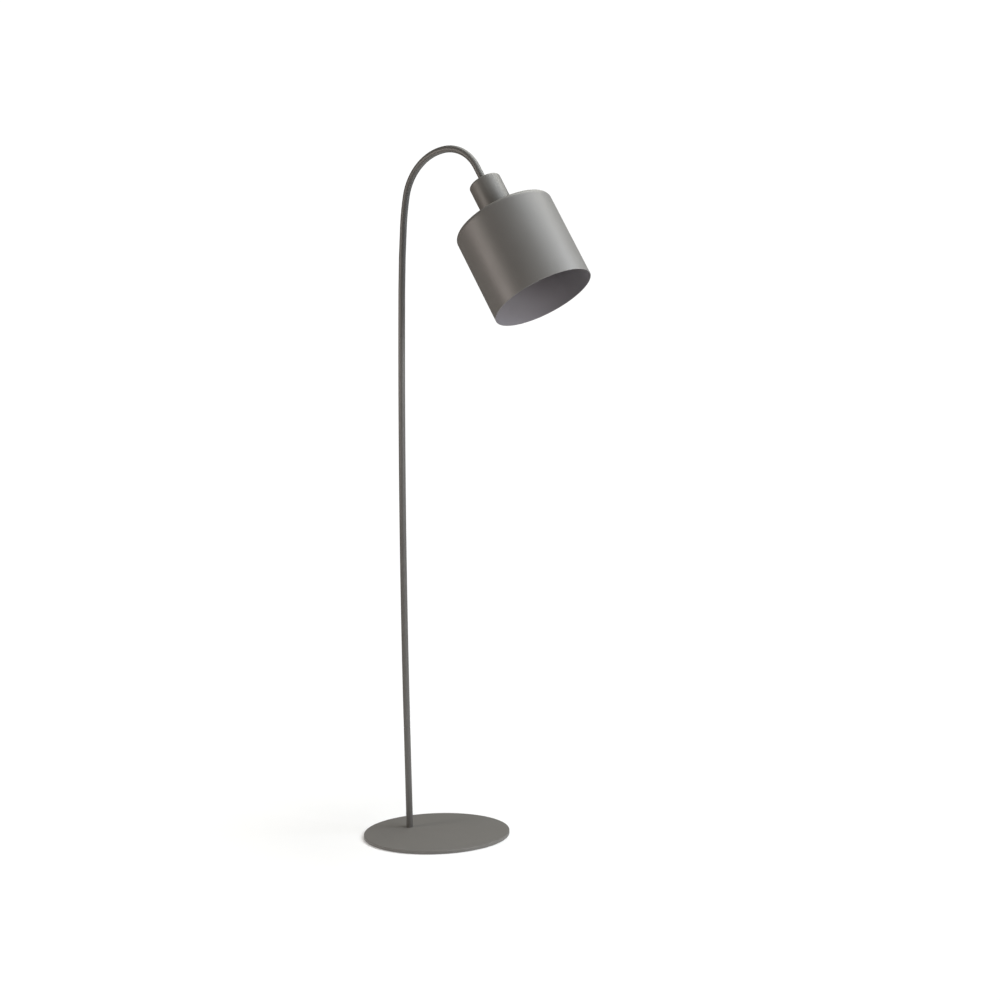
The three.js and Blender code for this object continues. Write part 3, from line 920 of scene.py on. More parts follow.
def carved(
    piece: bpy.types.Object, *tools: bpy.types.Object, how: str = "DIFFERENCE"
) -> bpy.types.Object:
    """Cuts tools out of a piece, or joins them with it, and removes them.

    Args:
        piece: the piece.
        tools: the pieces that it is cut or joined with.
        how: the boolean's operation.

    Returns:
        The same piece.
    """
    for tool in tools:
        cut = piece.modifiers.new("cut", "BOOLEAN")
        cut.operation, cut.solver, cut.object = how, "EXACT", tool
    bpy.context.view_layer.update()
    whole = piece.evaluated_get(bpy.context.evaluated_depsgraph_get())
    mesh = bpy.data.meshes.new_from_object(whole)
    piece.modifiers.clear()
    piece.data = mesh
    mesh.shade_smooth()
    mesh.set_sharp_from_angle(angle=math.radians(CREASE))
    for tool in tools:
        bpy.data.objects.remove(tool)
    return piece


def deliver(
    piece: bpy.types.Object, body: Body, node: str, slot: str, *finishes: Finish
) -> bpy.types.Object:
    """Dresses a piece and hangs it on its body in place of its CAD node.

    Args:
        piece: the piece, in place.
        body: the body it moves with.
        node: the CAD node it stands for.
        slot: the record's slot of its finish; not used.
        finishes: its finishes, by material slot.

    Returns:
        The same piece.
    """
    for finish in finishes:
        piece.data.materials.append(finish.material())
    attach(piece, body.value)
    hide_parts(node)
    LOG.info("%s: %d faces, rides on %s", piece.name, len(piece.data.polygons), body.value)
    return piece


def redress(node: str, finish: Finish, edge: float) -> None:
    """Gives a CAD node that keeps its shape its finish and softened edges.

    Args:
        node: the node's name.
        finish: its finish.
        edge: the width of its softened edges, in millimetres.
    """
    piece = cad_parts[node]
    if not piece.material_slots:
        piece.data.materials.append(None)
    for slot in piece.material_slots:
        slot.material = finish.material()
    softened = piece.modifiers.new("edges", "BEVEL")
    softened.width, softened.segments, softened.limit_method = edge * MM, 2, "ANGLE"
    softened.angle_limit = math.radians(40)
    LOG.info("%s: keeps its own shape", node)


def low_of(node: str) -> Vector:
    """A CAD node's lowest corner, in millimetres."""
    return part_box(node)[0] / MM


def high_of(node: str) -> Vector:
    """A CAD node's highest corner, in millimetres."""
    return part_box(node)[1] / MM


# ------------------------------------------------------------------------------ base


@dataclass
class Base:
    """The steel disc, its foam pad and the screw that holds the stem."""

    edge_round: float = 0.8
    pad_hole: float = 13.0
    screw_head: float = 9.0
    screw_shank: float = 4.7
    screw_cone: float = 4.2
    screw_rim: float = 0.4
    screw_pitch: float = 1.5
    screw_depth: float = 0.75
    socket: float = 3.4
    gap: float = 0.3

    def __post_init__(self) -> None:
        """Takes the base's places from its CAD nodes."""
        self.radius = high_of("base_plate").y
        self.under, self.top = low_of("base_plate").z, high_of("base_plate").z
        middle = (low_of("stem_stub") + high_of("stem_stub")) / 2
        self.foot = Axis(Vector((middle.x, 0, 0)))
        self.middle = Axis(Vector((0, 0, 0)))

    def build(self) -> None:
        """Makes and delivers the base's three pieces."""
        deliver(self.plate(), Body.BASE, "base_plate", "grey_paint", BASE_COAT)
        deliver(self.pad(), Body.BASE, "floor_pad", "foam", FOAM)
        deliver(self.screw(), Body.BASE, "foot_screw", "zinc_steel", ZINC)

    def plate(self) -> bpy.types.Object:
        """The disc, countersunk from below for the foot screw."""
        corners = [
            (0, self.under, 0),
            (self.radius, self.under, self.edge_round / 2),
            (self.radius, self.top, self.edge_round),
            (0, self.top, 0),
        ]
        head, shank = self.screw_head + self.gap, self.screw_shank + self.gap
        rim = self.under + self.gap + self.screw_rim
        hole = [
            (0, self.under - 1),
            (head, self.under - 1),
            (head, rim),
            (shank, self.under + self.screw_cone),
            (shank, self.top + 1),
            (0, self.top + 1),
        ]
        disc = turned("base_disc", self.middle, eased(corners), 288)
        return carved(disc, turned("hole", self.foot, hole, 64))

    def pad(self) -> bpy.types.Object:
        """The foam pad, with a hole round the screw's head."""
        radius, top = high_of("floor_pad").y, high_of("floor_pad").z
        corners = [(0, 0, 0), (radius, 0, 0.25), (radius, top, 0.1), (0, top, 0)]
        hole = turned("hole", self.foot, cylinder(self.pad_hole, -1, top + 1), 72)
        return carved(turned("foam_pad", self.middle, eased(corners, 3), 192), hole)

    def screw(self) -> bpy.types.Object:
        """The countersunk socket screw, threaded above its cone."""
        low, high = low_of("foot_screw").z, high_of("foot_screw").z
        cone = self.under + self.screw_cone
        ends = cone + 0.6, high - 0.6
        thread = Thread(self.screw_shank, *ends, self.screw_pitch, self.screw_depth)
        corners = [
            (0, low, 0),
            (self.screw_head, low, 0.15),
            (self.screw_head, low + self.screw_rim, 0.1),
            (self.screw_shank, cone, 0),
        ]
        outline = eased(corners, 3) + thread.rows() + [(self.screw_shank - 0.5, high), (0, high)]
        blank = turned("foot_screw_turned", self.foot, outline, 48, thread.relief)
        depth = low + self.socket
        return carved(blank, turned("socket", self.foot, cylinder(self.socket, low - 1, depth), 6))


# ------------------------------------------------------------------------------ stem


@dataclass
class Tube:
    """The stem's tube: its section and its tapped ends."""

    radius: float = 6.5
    bore: float = 4.5
    tap: float = 5.0
    tap_depth: float = 15.0
    tap_rim: float = 0.2
    pitch: float = 1.0
    thread_depth: float = 0.3
    edge: float = 0.35
    sides: int = 44

    def make(self, name: str, line: BentLine, end: float) -> bpy.types.Object:
        """A length of tube with both its ends tapped.

        Args:
            name: the piece's name.
            line: the tube's centre line.
            end: where on the line the tube ends.

        Returns:
            The tube.
        """
        pitch, depth, margin = self.pitch, self.thread_depth, 0.5
        low = Thread(self.tap, self.tap_depth - margin, margin, pitch, depth, True)
        high = Thread(self.tap, end - margin, end - self.tap_depth + margin, pitch, depth, True)
        stops = line.stops(2 * self.edge, end - 2 * self.edge)
        worn = self.edge / 3.4
        outside = [(self.radius - self.edge, 0), (self.radius - worn, worn)]
        outside += [(self.radius, self.edge)] + [(self.radius, s) for s in stops]
        outside += [(self.radius, end - self.edge)]
        outside += [(self.radius - worn, end - worn)]
        outside += [(self.radius - self.edge, end)]
        step, rim = 0.3, self.tap_rim
        inner_stops = line.stops(self.tap_depth + step, end - self.tap_depth - step)
        inside = [(self.tap + rim, end), (self.tap, end - rim)] + high.rows()
        inside += [(self.tap, end - self.tap_depth)]
        inside += [(self.bore, s) for s in reversed(inner_stops)]
        inside += [(self.tap, self.tap_depth)] + low.rows() + [(self.tap, rim), (self.tap + rim, 0)]
        return turned(name, line, outside + inside, self.sides, together(low, high))


@dataclass
class Stub:
    """The lower tube, with the joint's nipple and washer, the lead and its way out."""

    foot: Axis
    tube: Tube
    exit_height: float = 34.0
    lead: float = 2.2
    lead_bend: float = 3.6
    shank: float = 3.3
    lip: float = 3.9
    lip_depth: float = 0.6
    nipple_bore: float = 3.0
    nipple_radius: float = 4.7
    gap: float = 0.3

    def __post_init__(self) -> None:
        """Takes the stub's places from its CAD nodes."""
        self.bottom, self.top = low_of("stem_stub").z, high_of("stem_stub").z
        self.out = Axis(self.foot.point(0, 0, self.exit_height), Vector((-1, 0, 0)), Vector((0, 0, 1)))
        self.front = self.tube.radius + self.gap

    def build(self) -> None:
        """Makes and delivers the stub's five pieces."""
        # The lower tube takes the darker coat: painted shade.
        deliver(self.stub(), Body.BASE, "stem_stub", "grey_paint", TUBE_PAINTED_SHADE_COAT)
        deliver(self.grommet(), Body.BASE, "cord_grommet", "black_rubber", RUBBER)
        deliver(self.lower_lead(), Body.BASE, "lead_lower", "lead_sheath", SHEATH)
        low, high = low_of("joint_nipple").z, high_of("joint_nipple").z
        nipple = self.nipple("joint_nipple_threaded", self.foot, low, high)
        deliver(nipple, Body.BASE, "joint_nipple", "zinc_steel", ZINC)
        deliver(self.washer(), Body.BASE, "joint_washer", "grey_nylon", NYLON)

    def stub(self) -> bpy.types.Object:
        """The lower tube, with the hole for the grommet at its back."""
        line = BentLine(self.foot.point(0, 0, self.bottom), (), self.top - self.bottom)
        tube = self.tube.make("stem_lower_tube", line, line.length)
        hole = cylinder(self.shank + self.gap, 0, self.tube.radius + 1)
        return carved(tube, turned("hole", self.out, hole, 40))

    def grommet(self) -> bpy.types.Object:
        """The rubber grommet: flush with the tube, and held by a lip that fits its bore."""
        above, inner = 2 * self.exit_height, self.tube.bore - self.gap
        plug = turned("lead_grommet", self.out, cylinder(self.shank, 0, self.front + 1), 56)
        flush = turned("flush", self.foot, cylinder(self.front, 0, above), 120)
        carved(plug, flush, how="INTERSECT")
        lip = turned("lip", self.out, cylinder(self.lip, 0, self.tube.bore), 56)
        fitted = turned("fitted", self.foot, cylinder(inner, 0, above), 120)
        carved(plug, carved(lip, fitted, how="INTERSECT"), how="UNION")
        hollow = cylinder(inner - self.lip_depth, -1, above + 1)
        carved(plug, turned("hollow", self.foot, hollow, 120))
        bore = turned("bore", self.out, cylinder(self.lead + self.gap, 0, self.front + 2), 40)
        return carved(plug, bore)

    def lower_lead(self) -> bpy.types.Object:
        """The lead, down from the joint and out to the back."""
        straight = self.top - self.exit_height - self.lead_bend
        reach = self.front - self.lead_bend
        start = self.foot.point(0, 0, self.top)
        line = BentLine(start, (Bend(self.lead_bend, 90),), reach, straight, 180)
        stops = line.stops(0, line.length, 6)
        outline = [(0, 0)] + [(self.lead, s) for s in stops] + [(0, line.length)]
        return turned("lead_in_stub", line, outline, 24)

    def nipple(self, name: str, line: Axis, low: float, high: float) -> bpy.types.Object:
        """A hollow threaded nipple.

        Args:
            name: the piece's name.
            line: its axis.
            low: where it starts.
            high: where it ends.

        Returns:
            The nipple.
        """
        thread = Thread(self.nipple_radius, low + 0.5, high - 0.5, self.tube.pitch, 0.45, False, 6)
        root = self.nipple_radius - 0.4
        outline = [(self.nipple_bore, low), (root, low)] + thread.rows()
        outline += [(root, high), (self.nipple_bore, high)]
        return turned(name, line, outline, 40, thread.relief)

    def washer(self) -> bpy.types.Object:
        """The thin washer between the tubes, a little inside their surface."""
        low, high = low_of("joint_washer"), high_of("joint_washer")
        outer = high.y
        corners = [
            (self.tube.tap, low.z, 0.1),
            (outer, low.z, 0.2),
            (outer, high.z, 0.2),
            (self.tube.tap, high.z, 0.1),
        ]
        return turned("joint_shim", self.foot, eased(corners, 3), 72)


@dataclass
class Arch:
    """The upper tube, which leans forward in a long sweep and bends over at the top."""

    foot: Axis
    tube: Tube
    bends: tuple[Bend, ...] = (
        Bend(21000, 2.3),
        Bend(2100, 3.4),
        Bend(440, 6.8),
        Bend(100, 74.8),
        Bend(77, 63.4),
    )
    undercut: float = 32.7
    lead: float = 2.2
    sheath_end: float = 37.0
    gap: float = 0.3

    def __post_init__(self) -> None:
        """Lays the centre line from the joint up, and finds the head's axis at its end."""
        start = self.foot.point(0, 0, low_of("stem_arch").z)
        self.line = BentLine(start, self.bends, self.undercut)
        last = self.line.at(self.line.length)
        self.head = Axis(last.centre, last.across.cross(last.side), last.across)

    def build(self) -> None:
        """Makes and delivers the upper tube and its lead."""
        tube = self.tube.make("stem_arched_tube", self.line, self.line.length - self.gap)
        # The arched tube takes the darker coat: painted shade.
        deliver(tube, Body.STEM, "stem_arch", "grey_paint", TUBE_PAINTED_SHADE_COAT)
        begin = low_of("lead_upper").z - self.line.start.z
        end = self.line.length + self.sheath_end
        stops = self.line.stops(begin, end, 4)
        outline = [(0, begin)] + [(self.lead, s) for s in stops] + [(0, end)]
        lead = turned("lead_in_arch", self.line, outline, 20)
        deliver(lead, Body.STEM, "lead_upper", "lead_sheath", SHEATH)


# ------------------------------------------------------------------------------ head


@dataclass
class Cup:
    """The drawn cup over the lampholder, and what clamps it to the tube."""

    head: Axis
    stub: Stub
    radius: float = 30.5
    length: float = 78.7
    wall: float = 1.0
    top_wall: float = 1.2
    shoulder: float = 4.0
    hole: float = 5.0
    washer_start: float = 1.5
    washer_radius: float = 9.0
    washer_thickness: float = 0.8
    washer_teeth: int = 12
    tooth_root: float = 2.0
    tooth_gap: float = 1.6
    nut_start: float = 2.6
    nut_thickness: float = 4.0
    nut_flats: float = 14.0
    nipple: tuple[float, float] = (-14.4, 34.0)

    def build(self) -> None:
        """Makes and delivers the cup, its nipple, toothed washer and nut."""
        deliver(self.cup(), Body.STEM, "cup", "grey_paint", GREY_COAT)
        nipple = self.stub.nipple("head_nipple_threaded", self.head, *self.nipple)
        deliver(nipple, Body.STEM, "head_nipple", "zinc_steel", ZINC)
        deliver(self.washer(), Body.STEM, "head_lock_washer", "zinc_steel", ZINC)
        deliver(self.nut(), Body.STEM, "head_nut", "brass_fitting", BRASS)

    def cup(self) -> bpy.types.Object:
        """The cup, drawn from sheet, with a rounded shoulder."""
        inner = self.radius - self.wall
        corners = [
            (self.hole, 0, 0.15),
            (self.radius, 0, self.shoulder),
            (self.radius, self.length, 0.35),
            (inner, self.length, 0.35),
            (inner, self.top_wall, self.shoulder - self.wall),
            (self.hole, self.top_wall, 0.15),
        ]
        return turned("holder_cup", self.head, eased(corners, 9), 144)

    def washer(self) -> bpy.types.Object:
        """The toothed lock washer."""
        end = self.washer_start + self.washer_thickness
        outline = [
            (self.hole, self.washer_start),
            (self.washer_radius - self.tooth_root, self.washer_start),
            (self.washer_radius, self.washer_start),
            (self.washer_radius, end),
            (self.washer_radius - self.tooth_root, end),
            (self.hole, end),
        ]

        def teeth(angle: float, radius: float, distance: float) -> float:
            """How far the gaps between the teeth go in."""
            gap = math.cos(self.washer_teeth * angle) < 0
            return -self.tooth_gap if gap and radius == self.washer_radius else 0.0

        return turned("toothed_washer", self.head, outline, self.washer_teeth * 8, teeth)

    def nut(self) -> bpy.types.Object:
        """The hexagon nut, with its corners turned off."""
        begin, end = self.nut_start, self.nut_start + self.nut_thickness
        corner = self.nut_flats / math.sqrt(3)
        nut = turned("brass_nut", self.head, cylinder(corner, begin, end), 6)
        corners = [
            (0, begin, 0),
            (corner - 0.8, begin, 0),
            (corner + 0.1, begin + 0.5, 0),
            (corner + 0.1, end - 0.5, 0),
            (corner - 0.8, end, 0),
            (0, end, 0),
        ]
        carved(nut, turned("rounds", self.head, eased(corners), 72), how="INTERSECT")
        return carved(nut, turned("bore", self.head, cylinder(self.hole, begin - 1, end + 1), 48))


@dataclass
class Lampholder:
    """The screw lampholder inside the cup, from the tube's nipple to its mouth in the shade."""

    head: Axis
    radius: float = 19.5
    wall: float = 4.0
    cap_start: float = 24.0
    cap_end: float = 52.0
    boss_radius: float = 9.0
    boss_length: float = 8.0
    cap_wall: float = 2.5
    core_end: float = 66.3
    flange_radius: float = 24.0
    flange_start: float = 76.2
    flange_end: float = 78.7
    mouth: float = 100.0
    shell_start: float = 66.6
    shell_length: float = 28.0
    shell_bore: float = 13.5
    terminal_reach: float = 8.0
    terminal_top: float = 46.0
    lead_end: float = 37.3
    ring_start: float = 80.3
    ring_thickness: float = 5.0
    ring_radius: float = 28.5
    ring_grips: int = 8
    ring_grip: float = 2.4
    gap: float = 0.3

    def build(self) -> None:
        """Makes and delivers the lampholder's pieces and its ring."""
        deliver(self.cap(), Body.STEM, "holder_cap", "black_phenolic", PHENOLIC)
        deliver(self.core(), Body.STEM, "holder_core", "steatite", STEATITE)
        deliver(self.skirt(), Body.STEM, "holder_skirt", "black_phenolic", PHENOLIC)
        deliver(self.shell(), Body.STEM, "screw_shell", "brass_fitting", BRASS)
        redress("centre_contact", BRASS, 0.1)
        for pole, side, finish in (("live", 1, BROWN_CORE), ("neutral", -1, BLUE_CORE)):
            redress(f"terminal_{pole}", BRASS, 0.25)
            screw = self.terminal_screw(f"terminal_{pole}_screw", side)
            deliver(screw, Body.STEM, f"terminal_screw_{pole}", "zinc_steel", ZINC)
            wire = self.wire(f"{pole}_wire", side)
            slot = "brown_core" if side > 0 else "blue_core"
            deliver(wire, Body.STEM, f"core_{pole}", slot, finish)
        deliver(self.ring(), Body.RING, "shade_ring", "black_phenolic", PHENOLIC)

    def cap(self) -> bpy.types.Object:
        """The domed cap that screws onto the nipple."""
        boss_end = self.cap_start + self.boss_length
        outer = self.radius + 1
        corners = [
            (5.0, self.cap_start, 0.3),
            (self.boss_radius, self.cap_start, 1.0),
            (self.boss_radius, boss_end - self.cap_wall, 0.8),
            (outer, boss_end - self.cap_wall, 9.0),
            (outer, self.cap_end, 0.5),
            (outer - self.cap_wall, self.cap_end, 0.3),
            (outer - self.cap_wall, boss_end, 6.5),
            (5.0, boss_end, 0.3),
        ]
        return turned("holder_dome", self.head, eased(corners, 8), 96)

    def core(self) -> bpy.types.Object:
        """The ceramic core that carries the terminals and contacts."""
        radius = self.radius - self.wall - self.gap
        start = self.cap_end + self.gap
        corners = [(0, start, 0), (radius, start, 0.5), (radius, self.core_end, 2.0)]
        corners += [(0, self.core_end, 0)]
        return turned("ceramic_core", self.head, eased(corners, 5), 72)

    def skirt(self) -> bpy.types.Object:
        """The skirt: smooth inside the cup, a flange above the shade, a thread below it."""
        bore, start = self.radius - self.wall, self.cap_end + self.gap
        thread = Thread(self.radius, self.flange_end + 2.6, self.mouth - 1.2, RING_PITCH, 0.8)
        behind = eased(
            [
                (bore, start, 0.4),
                (self.radius, start, 0.5),
                (self.radius, self.flange_start, 0.4),
                (self.flange_radius, self.flange_start, 0.6),
                (self.flange_radius, self.flange_end, 0.4),
                (self.radius, self.flange_end, 0),
                (bore, self.mouth, 0),
            ],
            4,
        )[:-1]
        front = [(self.radius - 0.5, self.mouth - 0.35), (self.radius - 0.95, self.mouth)]
        front += [(bore + 0.9, self.mouth), (bore + 0.3, self.mouth - 0.25)]
        front += [(bore, self.mouth - 0.9)]
        outline = behind + thread.rows() + front
        return turned("holder_sleeve", self.head, outline, 120, thread.relief)

    def shell(self) -> bpy.types.Object:
        """The brass shell, with the rolled thread that takes the bulb's cap."""
        begin, end = self.shell_start, self.shell_start + self.shell_length
        floor, wall, depth = 7.6, 0.5, 0.75
        outer = Thread(self.shell_bore + wall, begin + 3, end - 2, BULB_PITCH, depth, True)
        inner = Thread(self.shell_bore, end - 2, begin + 3, BULB_PITCH, depth, True)
        outline = [(floor, begin), (self.shell_bore, begin), (self.shell_bore + wall, begin + 0.5)]
        outline += outer.rows() + [(self.shell_bore + wall, end), (self.shell_bore, end)]
        outline += inner.rows() + [(self.shell_bore, begin + wall), (floor, begin + wall)]
        return turned("rolled_shell", self.head, outline, 96, together(outer, inner))

    def terminal_screw(self, name: str, side: int) -> bpy.types.Object:
        """A terminal's slotted screw.

        Args:
            name: the piece's name.
            side: 1 for live, -1 for neutral.

        Returns:
            The screw.
        """
        station = self.head.at(0)
        origin = self.head.point(side * self.terminal_reach, 2.8, self.terminal_top + 3)
        axis = Axis(origin, station.side, station.across)
        length, radius = 3.0, 1.7
        corners = [(0, 0, 0), (radius, 0, 0.2), (radius, length, 0.5), (0, length, 0)]
        screw = turned(name, axis, eased(corners, 4), 40)
        slot_axis = Axis(axis.point(-3, 0, length), station.across, station.side)
        return carved(screw, turned("slot", slot_axis, cylinder(0.45, 0, 6), 4))

    def wire(self, name: str, side: int) -> bpy.types.Object:
        """One of the lead's cores, from the sheath's end to its terminal.

        Args:
            name: the piece's name.
            side: 1 for live, -1 for neutral.

        Returns:
            The core.
        """
        near, far = side * 1.1, side * self.terminal_reach
        bend = side * 0.8
        route = (
            (near, self.lead_end),
            (near + bend, self.lead_end + 1.6),
            (far - bend, self.terminal_top - 2),
            (far, self.terminal_top - 0.4),
            (far, self.terminal_top + 3.3),
        )
        points = tuple(self.head.point(x, 0, z) for x, z in route)
        line, steps, radius = SoftLine(points, Vector((0, 1, 0))), 32, 0.9
        stops = [(len(points) - 1) * i / steps for i in range(steps + 1)]
        outline = [(0, stops[0])] + [(radius, s) for s in stops] + [(0, stops[-1])]
        return turned(name, line, outline, 16)

    def ring(self) -> bpy.types.Object:
        """The threaded ring that holds the shade, with finger grips round its rim."""
        begin, end = self.ring_start, self.ring_start + self.ring_thickness
        bore, lip, edge = self.radius + self.gap, 1.5, 0.9
        groove = Thread(bore, end - 0.4, begin + 0.4, RING_PITCH, 0.6, True)
        rim = self.ring_radius
        outline = [(bore + 0.2, begin), (rim - 0.3, begin), (rim, begin + 0.3), (rim, begin + lip)]
        outline += [(rim, begin + lip + 0.12), (rim, end - edge), (rim - 0.27, end - 0.27)]
        outline += [(rim - edge, end), (rim - 3.4, end), (bore + 0.3, end)] + groove.rows()
        centre = rim + self.ring_grip / 2

        def shape(angle: float, radius: float, distance: float) -> float:
            """How far the grips go into the rim, and the groove out of the bore.

            Args:
                angle: the point's angle.
                radius: its radius before that.
                distance: its distance along the axis.

            Returns:
                The change of its radius.
            """
            if radius < rim - 3 or distance <= begin + lip:
                return groove.relief(angle, radius, distance)
            step = 2 * math.pi / self.ring_grips
            off = (angle % step) - step / 2
            inside = self.ring_grip**2 - (centre * math.sin(off)) ** 2
            if inside <= 0:
                return 0.0
            return min(0.0, centre * math.cos(off) - math.sqrt(inside) - radius)

        return turned("threaded_ring", self.head, outline, 240, shape)


@dataclass
class Shade:
    """The spun shade: a plain cylinder with a rounded top edge, painted inside and out, with a lighter,
    cooler copy of its paint inside as painted light.
    """

    head: Axis
    radius: float = 95.0
    top: float = 79.0
    mouth: float = 250.5
    wall: float = 1.0
    round: float = 9.0
    hole: float = 20.1
    rim: float = 0.42

    def build(self) -> None:
        """Makes and delivers the shade."""
        inner, under = self.radius - self.wall, self.top + self.wall
        corners = [
            (self.hole, self.top, 0.2),
            (self.radius, self.top, self.round),
            (self.radius, self.mouth, self.rim),
            (inner, self.mouth, self.rim),
            (inner, under, self.round - self.wall),
            (self.hole, under, 0.2),
        ]
        shade = turned("shade_spun", self.head, eased(corners, 12), 240)
        # The second finish is the lighter lining: painted light inside the shade.
        deliver(shade, Body.STEM, "shade", "shade_paint", SHADE_COAT, SHADE_LINING_PAINTED_LIGHT)
        middle = self.head.origin * MM
        # Faces inside the shade take the lighter lining, which is painted light.
        for face in shade.data.polygons:
            offset = face.center - middle
            along = offset.dot(self.head.along)
            out = (offset - self.head.along * along).dot(face.normal)
            facing_in = out < 0 and along > under * MM
            facing_down = face.normal.dot(self.head.along) > 0.5 and along < (self.mouth - 1) * MM
            face.material_index = int(facing_in or facing_down)


@dataclass
class Bulb:
    """A screw-cap lamp bulb with an opal globe."""

    head: Axis
    cap_radius: float = 13.1
    cap_wall: float = 0.5
    cap_top: float = 76.0
    glass_start: float = 98.0
    globe: float = 30.0
    length: float = 80.0
    neck: float = 12.2
    flare: tuple[tuple[float, float], ...] = ((0, 0), (1, 8), (4.6, 19), (10.8, 30), (15.8, 40))
    glass: float = 0.8
    insulator_radius: float = 9.5
    insulator_height: float = 4.0
    contact_radius: float = 4.6
    contact_height: float = 1.3
    post: float = 50.0
    filaments: int = 4
    filament_length: float = 34.0
    filament_radius: float = 0.8
    filament_circle: float = 8.0

    def build(self) -> None:
        """Makes and delivers the bulb's pieces."""
        deliver(self.cap(), Body.BULB, "bulb_cap", "bulb_metal", ALUMINIUM)
        deliver(self.insulator(), Body.BULB, "bulb_insulator", "black_phenolic", PHENOLIC)
        deliver(self.contact(), Body.BULB, "bulb_contact", "bulb_metal", ALUMINIUM)
        deliver(self.envelope(), Body.BULB, "bulb_envelope", "opal_glass", OPAL)
        deliver(self.mount(), Body.BULB, "bulb_stem", "clear_glass", GLASS)
        redress("filament_spider", ZINC, 0.15)
        for index in range(self.filaments):
            rod = self.filament(index)
            deliver(rod, Body.BULB, f"bulb_filament_{index + 1}", "phosphor", PHOSPHOR)

    def cap(self) -> bpy.types.Object:
        """The cap, with its rolled screw thread."""
        outer, inner = self.cap_radius, self.cap_radius - self.cap_wall
        shoulder, end, depth = self.cap_top + 2, self.glass_start + 1, 0.85
        out = Thread(outer, shoulder + 0.4, end - 4, BULB_PITCH, depth)
        back = Thread(inner, end - 4, shoulder + 0.4, BULB_PITCH, depth)
        outline = [(self.insulator_radius, self.cap_top), (outer - 0.5, shoulder - 0.4)]
        outline += out.rows() + [(outer, end), (inner, end)] + back.rows()
        outline += [(inner - 0.5, shoulder)]
        outline += [(self.insulator_radius - 0.5, self.cap_top + 0.5)]
        outline += [(self.insulator_radius - 0.5, self.cap_top)]
        return turned("bulb_screw_cap", self.head, outline, 96, together(out, back))

    def insulator(self) -> bpy.types.Object:
        """The insulating cone between the cap and its end contact."""
        base, tip = self.cap_top - 0.3, self.cap_top - self.insulator_height
        corners = [(0, tip, 0), (self.contact_radius + 0.8, tip, 0.4)]
        corners += [(self.insulator_radius, base, 0.3), (0, base, 0)]
        return turned("bulb_insulating_cone", self.head, eased(corners, 4), 64)

    def contact(self) -> bpy.types.Object:
        """The domed end contact."""
        high = self.cap_top - self.insulator_height - 0.3
        low = high - (self.contact_height - 0.3)
        corners = [(0, low, 0), (self.contact_radius, low + 0.1, 0.6)]
        corners += [(self.contact_radius, high, 0.1), (0, high, 0)]
        return turned("bulb_end_contact", self.head, eased(corners, 5), 48)

    def _glass_line(self, inset: float) -> Outline:
        """The globe's outline from the neck towards the tip.

        Args:
            inset: how far inside its outer surface.

        Returns:
            The outline, without its last point on the axis.
        """
        centre, steps = self.length - self.globe, 18
        knots = [(self.neck + growth, height) for growth, height in self.flare]
        dome = [
            (self.globe * math.cos(angle), centre + self.globe * math.sin(angle))
            for angle in (math.pi / 2 * i / steps for i in range(steps))
        ]
        line = SoftLine(
            tuple(Vector((r, 0, z)) for r, z in [*knots, dome[0], dome[3]]), Vector((0, 1, 0))
        )
        smooth = [line.at(len(knots) * i / 30).centre for i in range(30)]
        flared = [(point.x, point.z) for point in smooth]
        return [(r - inset, self.glass_start + z) for r, z in [*flared, *dome]]

    def envelope(self) -> bpy.types.Object:
        """The thin glass envelope."""
        tip = self.glass_start + self.length
        outline = self._glass_line(0) + [(0, tip), (0, tip - self.glass)]
        outline += list(reversed(self._glass_line(self.glass)))
        return turned("bulb_globe", self.head, outline, 96)

    def mount(self) -> bpy.types.Object:
        """The sealed glass post inside the envelope."""
        flare, start = self.neck - self.glass - 0.3, self.glass_start
        corners = [
            (0, start, 0),
            (flare, start + 1, 0.5),
            (flare - 3, start + 3, 1.5),
            (3.2, start + 12, 4),
            (1.6, start + self.post, 0.4),
            (0, start + self.post, 0),
        ]
        return turned("bulb_glass_post", self.head, eased(corners, 5), 40)

    def filament(self, index: int) -> bpy.types.Object:
        """One filament rod, with rounded ends.

        Args:
            index: its number, from 0.

        Returns:
            The rod.
        """
        angle = 2 * math.pi * (index + 0.5) / self.filaments
        start = self.glass_start + self.post - self.filament_length
        reach = self.filament_circle
        origin = self.head.point(reach * math.cos(angle), reach * math.sin(angle), start)
        axis, radius = Axis(origin, self.head.along, self.head.across), self.filament_radius
        corners = [(0, 0, 0), (radius, 0, 0.3), (radius, self.filament_length, 0.3)]
        corners += [(0, self.filament_length, 0)]
        return turned(f"bulb_filament_rod_{index + 1}", axis, eased(corners, 4), 20)


# ------------------------------------------------------------------------------ studio


@dataclass(frozen=True)
class Panel:
    """A soft light panel that points at the lamp.

    Its azimuth is counted from the camera's and its distance from the lamp's middle, and `aim` is
    the height that it points at.
    """

    name: str
    azimuth: float
    distance: float
    height: float
    size: tuple[float, float]
    power: float
    colour: Colour = (1.0, 1.0, 1.0)
    aim: float = 1.1


